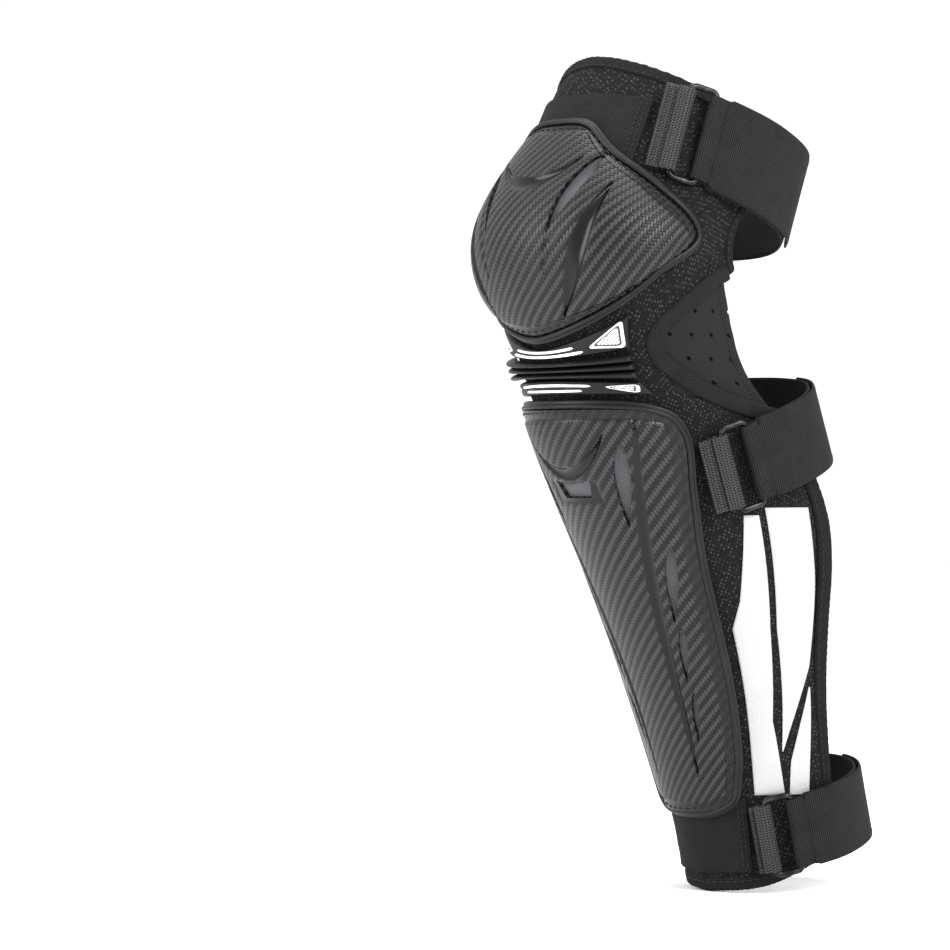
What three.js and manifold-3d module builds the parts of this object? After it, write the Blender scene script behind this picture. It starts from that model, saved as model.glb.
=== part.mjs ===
// Knee and shin guard, for the left leg, modelled at real size.
//
// Frame: +Z up, the front of the leg looks along -Y, +X is the buckle side.
// Origin: the centre of the knee joint, on the axis that the knee flexes about.
// Units: millimetres.
//
// Every fabric and shell piece is a thin solid laid over one leg surface.  A place on that
// surface is an angle around the leg, in degrees (0 at the front, 90 on the +X side), and a
// height above the knee centre.  Thickness is measured outwards from the sleeve's outer face.
import * as THREE from 'three';
import { mergeVertices } from 'three/addons/utils/BufferGeometryUtils.js';
import Module from 'manifold-3d';

const wasm = await Module();
wasm.setup();

const { lerp } = THREE.MathUtils;

// ---- Driving dimensions ------------------------------------------------------------------
const guardTop = 140;
const guardBottom = -310;
const gap = 0.35;

// The layers, outwards from the sleeve's outer face.
const sleeveThickness = 3.2;
const elasticFloor = 0.9;
const elasticThickness = 1.4;
const padFloor = 2.9;
const shellThickness = 2.2;

// The leg inside the sleeve: height, half width, front line, and depth from the front line to
// the widest point.  The shin leans forward and the thigh leans back, so the guard is pre-bent.
const legProfile = [
  { z: -310, halfWidth: 46, front: 63, depth: 60 },
  { z: -262, halfWidth: 52, front: 52, depth: 66 },
  { z: -194, halfWidth: 65, front: 27, depth: 86 },
  { z: -130, halfWidth: 69.5, front: -4, depth: 104 },
  { z: -67, halfWidth: 67, front: -39, depth: 108 },
  { z: -27, halfWidth: 64, front: -53.5, depth: 76 },
  { z: 8, halfWidth: 66, front: -61, depth: 62 },
  { z: 40, halfWidth: 66, front: -65, depth: 59 },
  { z: 70, halfWidth: 65.5, front: -55, depth: 66 },
  { z: 101, halfWidth: 64, front: -42.5, depth: 76 },
  { z: 140, halfWidth: 60, front: -22, depth: 78 },
];

// A smooth curve through rows that are sorted by one key, with slopes from the neighbours.
function smoothValue(rows, key, value, at) {
  let i = 0;
  while (i < rows.length - 2 && at > rows[i + 1][key]) i += 1;
  const slope = (k) => {
    const before = rows[Math.max(k - 1, 0)];
    const after = rows[Math.min(k + 1, rows.length - 1)];
    return (after[value] - before[value]) / (after[key] - before[key]);
  };
  const start = rows[i];
  const end = rows[i + 1];
  const span = end[key] - start[key];
  const t = (at - start[key]) / span;
  const s = 1 - t;
  const ends = start[value] * s * s * (1 + 2 * t) + end[value] * t * t * (3 - 2 * t);
  return ends + span * t * s * (slope(i) * s - slope(i + 1) * t);
}

// A point of the sleeve's outer face.  In front of the widest point the section is half an
// ellipse; behind it the side runs on almost straight to the open back.
function skinPoint(degrees, z) {
  const halfWidth = smoothValue(legProfile, 'z', 'halfWidth', z);
  const front = smoothValue(legProfile, 'z', 'front', z);
  const depth = smoothValue(legProfile, 'z', 'depth', z);
  const side = Math.sign(degrees);
  const angle = THREE.MathUtils.degToRad(Math.abs(degrees));
  const past = angle - Math.PI / 2;
  if (past <= 0) {
    const back = front + depth * (1 - Math.cos(angle));
    return new THREE.Vector3(side * halfWidth * Math.sin(angle), back, z);
  }
  return new THREE.Vector3(side * halfWidth * Math.cos(0.4 * past), front + depth * (1 + past), z);
}

function skinNormal(degrees, z) {
  const around = skinPoint(degrees + 0.5, z).sub(skinPoint(degrees - 0.5, z));
  const up = skinPoint(degrees, z + 0.5).sub(skinPoint(degrees, z - 0.5));
  return around.cross(up).normalize();
}

function onLeg(degrees, z, lift) {
  return skinPoint(degrees, z).addScaledVector(skinNormal(degrees, z), lift);
}

// ---- Solid builders ----------------------------------------------------------------------
// A closed solid between two faces, each given on a grid of (u, v) from 0 to 1.
function slab(columns, rows, outer, inner) {
  const positions = [];
  const index = [];
  const width = columns + 1;
  const layer = width * (rows + 1);
  for (const face of [outer, inner]) {
    for (let j = 0; j <= rows; j += 1) {
      for (let i = 0; i <= columns; i += 1) {
        positions.push(...face(i / columns, j / rows).toArray());
      }
    }
  }
  const quad = (a, b, c, d) => index.push(a, b, c, a, c, d);
  for (let j = 0; j < rows; j += 1) {
    for (let i = 0; i < columns; i += 1) {
      const a = j * width + i;
      quad(a, a + 1, a + width + 1, a + width);
      quad(layer + a, layer + a + width, layer + a + width + 1, layer + a + 1);
    }
  }
  const last = rows * width;
  for (let i = 0; i < columns; i += 1) {
    quad(layer + i, layer + i + 1, i + 1, i);
    quad(last + i, last + i + 1, layer + last + i + 1, layer + last + i);
  }
  for (let j = 0; j < rows; j += 1) {
    const a = j * width;
    const b = a + columns;
    quad(a, a + width, layer + a + width, layer + a);
    quad(layer + b, layer + b + width, b + width, b);
  }
  return solid(positions, index);
}

// A closed ring swept along a loop of frames, each with a centre, a side and an out direction.
function loopTube(frames, profile) {
  const positions = [];
  const index = [];
  const sides = profile.length;
  for (const frame of frames) {
    for (const [across, out] of profile) {
      const point = frame.centre.clone();
      point.addScaledVector(frame.side, across).addScaledVector(frame.out, out);
      positions.push(...point.toArray());
    }
  }
  for (let k = 0; k < frames.length; k += 1) {
    const next = (k + 1) % frames.length;
    for (let i = 0; i < sides; i += 1) {
      const j = (i + 1) % sides;
      index.push(k * sides + i, k * sides + j, next * sides + j);
      index.push(k * sides + i, next * sides + j, next * sides + i);
    }
  }
  return solid(positions, index);
}

// Turns the faces outwards when the volume comes out negative.
function solid(positions, index) {
  const geometry = new THREE.BufferGeometry();
  geometry.setAttribute('position', new THREE.Float32BufferAttribute(positions, 3));
  const corner = (k) => new THREE.Vector3().fromArray(positions, 3 * index[k]);
  let volume = 0;
  for (let k = 0; k < index.length; k += 3) {
    volume += corner(k).dot(corner(k + 1).cross(corner(k + 2)));
  }
  geometry.setIndex(volume < 0 ? index.slice().reverse() : index);
  return geometry;
}

function toManifold(geometry) {
  const bare = geometry.clone();
  bare.deleteAttribute('normal');
  bare.deleteAttribute('uv');
  const merged = mergeVertices(bare, 1e-4);
  return new wasm.Manifold(new wasm.Mesh({
    numProp: 3,
    vertProperties: new Float32Array(merged.attributes.position.array),
    triVerts: new Uint32Array(merged.index.array),
  }));
}

function cut(geometry, cutters) {
  let body = toManifold(geometry);
  for (const cutter of cutters) body = body.subtract(toManifold(cutter));
  const mesh = body.getMesh();
  const result = new THREE.BufferGeometry();
  result.setAttribute('position', new THREE.BufferAttribute(mesh.vertProperties, 3));
  result.setIndex(new THREE.BufferAttribute(mesh.triVerts, 1));
  return result;
}

const guard = new THREE.Group();

function add(name, geometry, look) {
  const mesh = new THREE.Mesh(geometry, new THREE.MeshStandardMaterial(look));
  mesh.name = name;
  guard.add(mesh);
  return mesh;
}

// ---- Looks -------------------------------------------------------------------------------
const airMesh = { color: 0x1b1b1d, roughness: 0.95, metalness: 0 };
const neoprene = { color: 0x202022, roughness: 0.9, metalness: 0 };
const bindingTape = { color: 0x151516, roughness: 0.85, metalness: 0 };
const elastic = { color: 0x161617, roughness: 0.9, metalness: 0 };
const webbing = { color: 0x121213, roughness: 0.8, metalness: 0 };
const foam = { color: 0x1a1a1b, roughness: 0.95, metalness: 0 };
const carbonLook = { color: 0x2b2b2d, roughness: 0.42, metalness: 0 };
const softRubber = { color: 0x2c2c2e, roughness: 0.6, metalness: 0 };
const ventMesh = { color: 0x6d6b75, roughness: 0.7, metalness: 0 };
const whiteRubber = { color: 0xf2f2f2, roughness: 0.5, metalness: 0 };
const darkMetal = { color: 0x2a2a2d, roughness: 0.35, metalness: 0.9 };

// A patch of the leg surface: angles and heights come from (u, v), and two lifts bound it.
function patch(columns, rows, place, low, high) {
  const at = (lift) => (u, v) => {
    const { degrees, z } = place(u, v);
    return onLeg(degrees, z, typeof lift === 'function' ? lift(u, v) : lift);
  };
  return slab(columns, rows, at(high), at(low));
}

// ---- Sleeve: thigh half, shin half and their edge tapes ------------------------------------
const tapeWidth = 5.5;
const tapeLow = -sleeveThickness - 0.5;
const tapeHigh = 0.6;
const tapeStart = 0.9;
const tapeEnd = 5.2;

// The thigh half ends in a dome at the top; its lower edge climbs to the back of the knee.
const thighTop = (degrees) => guardTop - 37 * (Math.abs(degrees) / 90) ** 1.7;
const thighLowerEdge = [
  { degrees: 0, z: -17 },
  { degrees: 50, z: -11 },
  { degrees: 80, z: 11 },
  { degrees: 110, z: 24 },
];
const thighBottom = (degrees) => smoothValue(thighLowerEdge, 'degrees', 'z', Math.abs(degrees));
const thighReach = 108;

function thighPlace(reach, topTrim) {
  return (u, v) => {
    const degrees = lerp(-reach, reach, u);
    return { degrees, z: lerp(thighBottom(degrees), thighTop(degrees) - topTrim, v) };
  };
}

add('thigh_sleeve', patch(24, 7, thighPlace(thighReach, tapeWidth + gap), -sleeveThickness, 0), airMesh);

add('thigh_top_tape', patch(24, 1, (u, v) => {
  const degrees = lerp(-thighReach, thighReach, u);
  return { degrees, z: thighTop(degrees) - lerp(tapeWidth, 0, v) };
}, tapeLow, tapeHigh), bindingTape);

for (const [side, sign] of [['right', 1], ['left', -1]]) {
  add(`thigh_back_tape_${side}`, patch(1, 6, (u, v) => {
    const degrees = sign * (thighReach + lerp(tapeStart, tapeEnd, u));
    return { degrees, z: lerp(thighBottom(degrees), thighTop(degrees), v) };
  }, tapeLow, tapeHigh), bindingTape);
}

// The shin half wraps the calf; its back edges run in above the ankle.
const shinLowerEdge = [
  { degrees: 0, z: guardBottom },
  { degrees: 45, z: guardBottom + 5 },
  { degrees: 90, z: guardBottom + 26 },
];
const shinUpperEdge = [
  { degrees: 0, z: -41 },
  { degrees: 55, z: -40 },
  { degrees: 90, z: -55 },
];
const calfReach = [
  { z: -310, degrees: 80 },
  { z: -226, degrees: 70 },
  { z: -180, degrees: 72 },
  { z: -110, degrees: 82 },
  { z: -45, degrees: 84 },
];
const shinTop = (degrees) => smoothValue(shinUpperEdge, 'degrees', 'z', Math.abs(degrees));
const shinBottom = (degrees) => smoothValue(shinLowerEdge, 'degrees', 'z', Math.abs(degrees));
const shinReach = (z) => smoothValue(calfReach, 'z', 'degrees', z);

function shinPlace(u, v, bottomTrim, across) {
  const roughZ = lerp(guardBottom, -50, v);
  const degrees = across(u, shinReach(roughZ));
  return { degrees, z: lerp(shinBottom(degrees) + bottomTrim, shinTop(degrees), v) };
}

add('shin_sleeve', patch(18, 12, (u, v) => {
  return shinPlace(u, v, tapeWidth + gap, (t, reach) => lerp(-reach, reach, t));
}, -sleeveThickness, 0), airMesh);

add('shin_bottom_tape', patch(18, 1, (u, v) => {
  const degrees = lerp(-1, 1, u) * shinReach(guardBottom);
  return { degrees, z: shinBottom(degrees) + lerp(0, tapeWidth, v) };
}, tapeLow, tapeHigh), bindingTape);

for (const [side, sign] of [['right', 1], ['left', -1]]) {
  add(`shin_back_tape_${side}`, patch(1, 12, (u, v) => {
    return shinPlace(u, v, 0, (t, reach) => sign * (reach + lerp(tapeStart, tapeEnd, t)));
  }, tapeLow, tapeHigh), bindingTape);
}

// ---- Knee fabric that stretches: front panel and two side gussets ----------------------------
const gussetStart = 56;
const gussetReach = (v) => lerp(88, 105, v);
const seam = 0.5;

function kneeFabricPlace(from, to) {
  return (u, v) => {
    const degrees = lerp(from, to(v), u);
    return { degrees, z: lerp(shinTop(degrees) + seam, thighBottom(degrees) - seam, v) };
  };
}

const frontPanelPlace = kneeFabricPlace(-gussetStart, () => gussetStart);
add('knee_front_panel', patch(16, 2, frontPanelPlace, -sleeveThickness, 0), airMesh);
for (const [side, sign] of [['right', 1], ['left', -1]]) {
  const place = kneeFabricPlace(sign * (gussetStart + seam), (v) => sign * gussetReach(v));
  add(`knee_gusset_${side}`, patch(8, 6, place, -sleeveThickness, -0.8), neoprene);
}

// ---- Knee cup: foam pad, carbon-look shell, rim bead, vent meshes ----------------------------
// The outline is a four-sided patch: the side edges bulge round the knee, the bottom edge
// dips at the front and the top edge is almost level.
const cupSide = [
  { v: 0, degrees: 64 },
  { v: 0.24, degrees: 86 },
  { v: 0.58, degrees: 58 },
  { v: 0.82, degrees: 34 },
  { v: 1, degrees: 21 },
];
const cupBottom = (u) => -11 + 38 * Math.abs(u) ** 1.6;
const cupTop = (u) => 102 - 8 * u ** 4;
const cupEdgeLift = 6.4;
const cupCrown = 10;
const cupColumns = 18;
const cupRows = 10;

function cupPlace(shrink) {
  return (u, v) => {
    const across = lerp(-1, 1, u) * shrink;
    const up = 0.5 + (v - 0.5) * shrink;
    const degrees = across * smoothValue(cupSide, 'v', 'degrees', up);
    return { degrees, z: lerp(cupBottom(across), cupTop(across), up) };
  };
}

// The shell crowns over the kneecap: full height in the middle, edge height at the rim.
function cupLift(u, v) {
  const across = 2 * u - 1;
  const fade = (1 - across ** 4) * Math.sin(Math.PI * v ** 0.8) ** 0.8;
  return cupEdgeLift + cupCrown * Math.max(fade, 0);
}

// A pointed slit, widest in the middle, between two places on the leg.
function slit(start, end, halfWidthDegrees, low, high) {
  return patch(2, 5, (u, v) => {
    const swell = Math.sin(Math.PI * lerp(0.04, 0.96, v)) * halfWidthDegrees;
    return {
      degrees: lerp(start.degrees, end.degrees, v) + lerp(-swell, swell, u),
      z: lerp(start.z, end.z, v),
    };
  }, low, high);
}

const cupShrink = 0.965;
const cupVents = [1, -1].map((sign) => ({
  side: sign > 0 ? 'right' : 'left',
  start: { degrees: sign * 28, z: 82 },
  end: { degrees: sign * 17, z: 42 },
}));
const cupVentHalfDegrees = 3.2;
const cupPadShrink = 0.93;
const cupPadSpace = 2.2;
const thinnestPad = 0.8;
const cupVentMeshLow = 11.9;
const cupVentMeshHigh = 12.7;
const cupUnderside = (u, v) => cupLift(u, v) - shellThickness;
const cupShell = patch(cupColumns, cupRows, cupPlace(cupShrink), cupUnderside, cupLift);
const cupCutters = cupVents.map((vent) => slit(vent.start, vent.end, cupVentHalfDegrees, 1, 24));
add('knee_pad', patch(14, 8, cupPlace(cupPadShrink), padFloor, (u, v) => {
  return Math.max(cupUnderside(u, v) - cupPadSpace, padFloor + thinnestPad);
}), foam);
add('knee_shell', cut(cupShell, cupCutters), carbonLook);
for (const vent of cupVents) {
  const half = cupVentHalfDegrees - 0.7;
  const insert = slit(vent.start, vent.end, half, cupVentMeshLow, cupVentMeshHigh);
  add(`knee_vent_mesh_${vent.side}`, insert, ventMesh);
}

// The loop round a patch's edge, as frames that a rim bead is swept along.
function edgeFrames(place, lift, acrossCount, upCount) {
  const stops = [];
  for (let i = 0; i < acrossCount; i += 1) stops.push([i / acrossCount, 0]);
  for (let j = 0; j < upCount; j += 1) stops.push([1, j / upCount]);
  for (let i = acrossCount; i > 0; i -= 1) stops.push([i / acrossCount, 1]);
  for (let j = upCount; j > 0; j -= 1) stops.push([0, j / upCount]);
  const centres = stops.map(([u, v]) => {
    const { degrees, z } = place(u, v);
    return onLeg(degrees, z, lift);
  });
  return stops.map(([u, v], k) => {
    const { degrees, z } = place(u, v);
    const before = centres[(k + stops.length - 1) % stops.length];
    const after = centres[(k + 1) % stops.length];
    const out = skinNormal(degrees, z);
    const side = new THREE.Vector3().subVectors(after, before).cross(out).normalize();
    return { centre: centres[k], side, out };
  });
}

const rimProfile = [[1.3, -1.5], [3.6, -1.5], [4.1, 0.4], [2.6, 2], [1.3, 1.2]];
const rimLift = 4.5;
const cupEdge = edgeFrames(cupPlace(cupShrink), rimLift, cupColumns, cupRows);
add('knee_rim', loopTube(cupEdge, rimProfile), softRubber);

// ---- Flex bridge under the knee: upper plate, three ribs, lower plate, white inserts ----------
// Level 1 is the upper plate's lower edge and level 0 the lower plate's upper edge; the lines
// between them spread apart towards the sides.
const bridgeReach = 44;
const plateLow = 1;
const plateHigh = 3.8;
const ribCount = 3;
const ribRidge = 7.6;
const ribShoulder = 6.8;
const bridgeMiddle = { top: -21.2, bottom: -32.2 };
const bridgeEnds = { top: -16.2, bottom: -33 };
const lowerPlateFoot = -39.6;
const upperPlateTop = -16.4;
const cupClearance = 5.2;
const insertLow = plateHigh + 0.3;
const insertHigh = plateHigh + 1;
const bridgeTop = (degrees) => {
  const underCup = cupBottom(degrees / 75) - cupClearance;
  return Math.max(underCup, upperPlateTop + 12 * (degrees / 46) ** 4);
};
const bridgeShape = (level) => (degrees) => {
  const side = (degrees / bridgeReach) ** 2;
  const middle = lerp(bridgeMiddle.bottom, bridgeMiddle.top, level);
  return lerp(middle, lerp(bridgeEnds.bottom, bridgeEnds.top, level), side);
};

add('bridge_upper_plate', patch(18, 3, (u, v) => {
  const degrees = lerp(-1, 1, u) * (bridgeReach + 2 * v);
  return { degrees, z: lerp(bridgeShape(1)(degrees), bridgeTop(degrees), v) };
}, plateLow, plateHigh), softRubber);

// Each rib is a half-round roll; it is a body of its own that follows the knee's flexion.
for (let rib = 1; rib <= ribCount; rib += 1) {
  const middle = (degrees) => bridgeShape(1 - rib / (ribCount + 1))(degrees);
  const half = (degrees) => 0.75 + 0.6 * (degrees / bridgeReach) ** 2;
  add(`bridge_rib_${rib}`, patch(18, 2, (u, v) => {
    const degrees = lerp(-bridgeReach, bridgeReach, u);
    return { degrees, z: middle(degrees) + lerp(-1, 1, v) * half(degrees) };
  }, plateLow, (u, v) => lerp(ribRidge, ribShoulder, Math.abs(2 * v - 1))), softRubber);
}

add('bridge_lower_plate', patch(18, 2, (u, v) => {
  const degrees = lerp(-1, 1, u) * lerp(bridgeReach + 3, bridgeReach, v);
  return { degrees, z: lerp(lowerPlateFoot, bridgeShape(0)(degrees), v) };
}, plateLow, plateHigh), softRubber);

for (const [side, sign] of [['right', 1], ['left', -1]]) {
  add(`bridge_upper_insert_${side}`, patch(2, 3, (u, v) => {
    const degrees = sign * lerp(lerp(26, 38, v), 42.5, u);
    return { degrees, z: lerp(-13 + 4.2 * ((Math.abs(degrees) - 26) / 16), -2.2, v) };
  }, insertLow, insertHigh), whiteRubber);
  add(`bridge_lower_insert_${side}`, patch(6, 2, (u, v) => {
    const degrees = sign * lerp(28, 42, u);
    const half = lerp(0.5, 2.1, Math.sin(Math.PI * lerp(0.05, 0.9, u)));
    return { degrees, z: -36.3 + lerp(-half, half, v) };
  }, insertLow, insertHigh), whiteRubber);
}

// ---- Shin plate: foam pad, carbon-look shell, rim bead, vent meshes --------------------------
const plateSide = [
  { v: 0, degrees: 29 },
  { v: 0.12, degrees: 33 },
  { v: 0.6, degrees: 37 },
  { v: 0.8, degrees: 43.5 },
  { v: 0.94, degrees: 49.5 },
  { v: 1, degrees: 49 },
];
const shinPlateBottom = (u) => -265.5 + 9 * u ** 4;
const shinPlateTop = (u) => -44.5 - 7 * Math.abs(u) ** 7;
const plateEdgeLift = 6.4;
const plateCrown = 2.4;
const plateColumns = 12;
const plateRows = 16;
const plateShrink = 0.985;

function shinPlatePlace(shrink) {
  return (u, v) => {
    const across = lerp(-1, 1, u) * shrink;
    const up = 0.5 + (v - 0.5) * shrink;
    const degrees = across * smoothValue(plateSide, 'v', 'degrees', up);
    return { degrees, z: lerp(shinPlateBottom(across), shinPlateTop(across), up) };
  };
}

const shinLift = (u) => plateEdgeLift + plateCrown * (1 - (2 * u - 1) ** 2);
const shinVents = [1, -1].flatMap((sign) => [
  { name: `upper_${sign > 0 ? 'right' : 'left'}`, sign, start: [27, -66], end: [18, -106], half: 2.4 },
  { name: `middle_${sign > 0 ? 'right' : 'left'}`, sign, start: [29, -119], end: [21.5, -160], half: 2.2 },
  { name: `lower_${sign > 0 ? 'right' : 'left'}`, sign, start: [24, -165], end: [18, -222], half: 2 },
].map((vent) => ({
  name: vent.name,
  half: vent.half,
  start: { degrees: vent.sign * vent.start[0], z: vent.start[1] },
  end: { degrees: vent.sign * vent.end[0], z: vent.end[1] },
})));
const scoopFoot = -92;
const scoopPlace = (trim) => (u, v) => ({
  degrees: lerp(-1, 1, u) * (lerp(9, 12, v) - trim),
  z: lerp(scoopFoot + trim, scoopFoot + 9 - trim, v),
});
const platePadShrink = 0.955;
const platePadSpace = 1.6;
const shinUnderside = (u) => shinLift(u) - shellThickness;
const shinShell = patch(plateColumns, plateRows, shinPlatePlace(plateShrink), shinUnderside, shinLift);
const shinCutters = shinVents.map((vent) => slit(vent.start, vent.end, vent.half, 1, 12));
shinCutters.push(patch(4, 1, scoopPlace(0), 1, 12));
add('shin_pad', patch(10, 12, shinPlatePlace(platePadShrink), padFloor, (u) => {
  return Math.max(shinUnderside(u) - platePadSpace, padFloor + thinnestPad);
}), foam);
add('shin_shell', cut(shinShell, shinCutters), carbonLook);
for (const vent of shinVents) {
  const insert = slit(vent.start, vent.end, vent.half - 0.6, 5.7, 6.3);
  add(`shin_vent_mesh_${vent.name}`, insert, ventMesh);
}
add('shin_scoop_mesh', patch(4, 1, scoopPlace(0.5), 6.2, 6.8), ventMesh);
const plateEdge = edgeFrames(shinPlatePlace(plateShrink), rimLift, plateColumns, plateRows);
add('shin_rim', loopTube(plateEdge, rimProfile), softRubber);

// ---- Elastic bands sewn to the front of the sleeve ------------------------------------------
function band(columns, from, to, middle, width) {
  return patch(columns, 2, (u, v) => {
    const degrees = lerp(from, to, u);
    return { degrees, z: middle(degrees) + lerp(-width / 2, width / 2, v) };
  }, elasticFloor, elasticFloor + elasticThickness);
}

// ---- Three closures: webbing tab, ring, rear strap and hook tab ------------------------------
// A strap lies in a plane that is tilted about X.  Its route in that plane starts on the sleeve
// beside the ring and runs round the back of the leg to the other side.
const closures = [
  {
    name: 'upper', width: 50, ringLength: 55, height: 93, tilt: -20, tabDegrees: [45.5, 53], ringDegrees: 62,
    route: [[70, 16], [71.5, 42], [61, 73], [34, 94], [0, 100], [-34, 94], [-60, 74],
      [-70.5, 48], [-71, 28], [-70.5, 12]],
  },
  {
    name: 'middle', width: 43, ringLength: 49, height: -87, tilt: 20, tabDegrees: [50, 56], ringDegrees: 63,
    route: [[72.2, 46], [73.6, 66], [67.4, 86], [50, 103], [27, 110], [0, 112], [-27, 110], [-50, 103],
      [-68, 86], [-74, 66], [-74, 48]],
  },
  {
    name: 'lower', width: 40, ringLength: 46, height: -297, tilt: 14, tabDegrees: [37, 41], ringDegrees: 52,
    route: [[54.5, 97], [57, 114], [48, 139], [27, 156], [0, 161], [-27, 156], [-48, 139],
      [-57, 114], [-57, 100]],
  },
];
const wireRadius = 1.6;
const ringHalfWidth = 7.5;
const loopInner = wireRadius + 0.55;
const loopOuter = loopInner + 1.3;
const loopReach = 5.5;
const tabThickness = 1.6;
const ringLift = 6.2;
const strapLow = -2.3;
const hookTabLow = 0.5;
const hookTabLength = 92;
const webbingHalfThickness = 0.9;
const wireSides = 8;

// The plane of a strap, with the route as a curve in it and steps measured along the curve.
function strapPlane(closure) {
  const tilt = THREE.MathUtils.degToRad(closure.tilt);
  const back = new THREE.Vector3(0, Math.cos(tilt), Math.sin(tilt));
  const up = new THREE.Vector3(0, -Math.sin(tilt), Math.cos(tilt));
  const onPlane = (degrees, lift) => {
    let z = closure.height;
    for (let round = 0; round < 6; round += 1) {
      z = closure.height + onLeg(degrees, z, lift).y * Math.tan(tilt);
    }
    const point = onLeg(degrees, z, lift);
    return new THREE.Vector3(point.x, point.y / Math.cos(tilt), 0);
  };
  const ringPoint = onPlane(closure.ringDegrees, ringLift);
  const starts = closure.tabDegrees.map((degrees) => onPlane(degrees, ringLift));
  const route = closure.route.map(([x, y]) => new THREE.Vector3(x, y, 0));
  const curve = new THREE.CatmullRomCurve3([...starts, ringPoint, ...route], false, 'centripetal');
  curve.arcLengthDivisions = 600;
  const length = curve.getLength();
  const place = (distance, lift, across) => {
    const t = THREE.MathUtils.clamp(distance / length, 0, 1);
    const point = curve.getPointAt(t);
    const tangent = curve.getTangentAt(t);
    const flat = new THREE.Vector3(point.x + tangent.y * lift, point.y - tangent.x * lift, 0);
    const world = new THREE.Vector3(flat.x, 0, closure.height);
    return world.addScaledVector(back, flat.y).addScaledVector(up, across);
  };
  let ringAt = 0;
  while (curve.getPointAt(ringAt / length).distanceTo(ringPoint) > 0.4) ringAt += 0.25;
  return { place, length, ringAt, up };
}

// A ribbon along the route, from one distance to another, between two lifts.
function ribbon(plane, from, to, low, high, width, steps) {
  const at = (lift) => (u, v) => plane.place(lerp(from, to, u), lift, lerp(-width / 2, width / 2, v));
  return slab(steps, 1, at(high), at(low));
}

// The flat loop of tape round a bar of the ring, seen along the bar, with the bar's hole in it.
function tapeLoop(direction) {
  const shape = new THREE.Shape();
  const turn = direction > 0 ? 0 : Math.PI;
  shape.absarc(0, 0, loopOuter, turn + Math.PI / 2, turn + 1.5 * Math.PI, false);
  shape.lineTo(direction * loopReach, -direction * loopOuter * 0.7);
  shape.lineTo(direction * loopReach, direction * loopOuter * 0.7);
  shape.closePath();
  const hole = new THREE.Path();
  hole.absarc(0, 0, loopInner, 0, 2 * Math.PI, true);
  shape.holes.push(hole);
  return shape;
}

// The ring's centre line: a rectangle with rounded corners, with +Y along the strap's width.
function ringFrames(length) {
  const halfLength = length / 2 - wireRadius;
  const corner = 3;
  const frames = [];
  const corners = [[1, 1, 0], [-1, 1, 90], [-1, -1, 180], [1, -1, 270]];
  for (const [sx, sy, start] of corners) {
    for (let step = 0; step <= 3; step += 1) {
      const angle = THREE.MathUtils.degToRad(start + step * 30);
      const side = new THREE.Vector3(Math.cos(angle), Math.sin(angle), 0);
      const centre = new THREE.Vector3(sx * (ringHalfWidth - corner), sy * (halfLength - corner), 0);
      frames.push({ centre: centre.addScaledVector(side, corner), side, out: new THREE.Vector3(0, 0, 1) });
    }
  }
  return frames;
}

const wireProfile = [];
for (let k = 0; k < wireSides; k += 1) {
  const angle = (k / wireSides) * 2 * Math.PI;
  wireProfile.push([wireRadius * Math.cos(angle), wireRadius * Math.sin(angle)]);
}

for (const closure of closures) {
  const plane = strapPlane(closure);
  const along = plane.place(plane.ringAt + ringHalfWidth, 0, 0);
  along.sub(plane.place(plane.ringAt - ringHalfWidth, 0, 0)).normalize();
  const out = new THREE.Vector3().crossVectors(along, plane.up).normalize();
  const centre = plane.place(plane.ringAt, 0, 0);
  const pose = new THREE.Matrix4().makeBasis(along, plane.up, out);

  const ring = add(`${closure.name}_ring`, loopTube(ringFrames(closure.ringLength), wireProfile), darkMetal);
  ring.position.copy(centre);
  ring.quaternion.setFromRotationMatrix(pose);

  // Both tape loops are extruded along the bars, the webbing's in front and the strap's behind.
  const loopLength = closure.ringLength - 4 * wireRadius - 2;
  const loopPose = new THREE.Matrix4().makeBasis(along, out.clone().negate(), plane.up);
  for (const [part, direction, look] of [['webbing_loop', -1, webbing], ['strap_fold', 1, elastic]]) {
    const options = { depth: loopLength, bevelEnabled: false, curveSegments: 6 };
    const loop = new THREE.ExtrudeGeometry(tapeLoop(direction), options);
    loop.translate(0, 0, -loopLength / 2);
    const mesh = add(`${closure.name}_${part}`, loop, look);
    mesh.position.copy(centre).addScaledVector(along, direction * ringHalfWidth);
    mesh.quaternion.setFromRotationMatrix(loopPose);
  }

  const tabEnd = plane.ringAt - ringHalfWidth - loopReach - gap;
  const tabWidth = closure.width - 3;
  const tab = ribbon(plane, 0, tabEnd, -webbingHalfThickness, webbingHalfThickness, tabWidth, 4);
  add(`${closure.name}_webbing_tab`, tab, webbing);

  const strapStart = plane.ringAt + ringHalfWidth + loopReach + gap;
  const strapHigh = strapLow + tabThickness;
  const strap = ribbon(plane, strapStart, plane.length, strapLow, strapHigh, closure.width, 30);
  add(`${closure.name}_rear_strap`, strap, elastic);
  const hookEnd = strapStart + hookTabLength;
  const hookHigh = hookTabLow + tabThickness;
  const hook = ribbon(plane, strapStart, hookEnd, hookTabLow, hookHigh, closure.width, 14);
  add(`${closure.name}_hook_tab`, hook, elastic);
}

add('upper_front_elastic', band(20, -98, 41, (degrees) => 95 - 17 * (degrees / 90) ** 2, 46), elastic);
add('middle_side_elastic', band(8, -82, -58, (degrees) => -98 - degrees * 0.38, 43), elastic);
add('lower_front_elastic', band(16, -72, 34, (degrees) => -279 + 8 * (degrees / 80) ** 2, 40), elastic);

export default guard;
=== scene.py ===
import math

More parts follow.
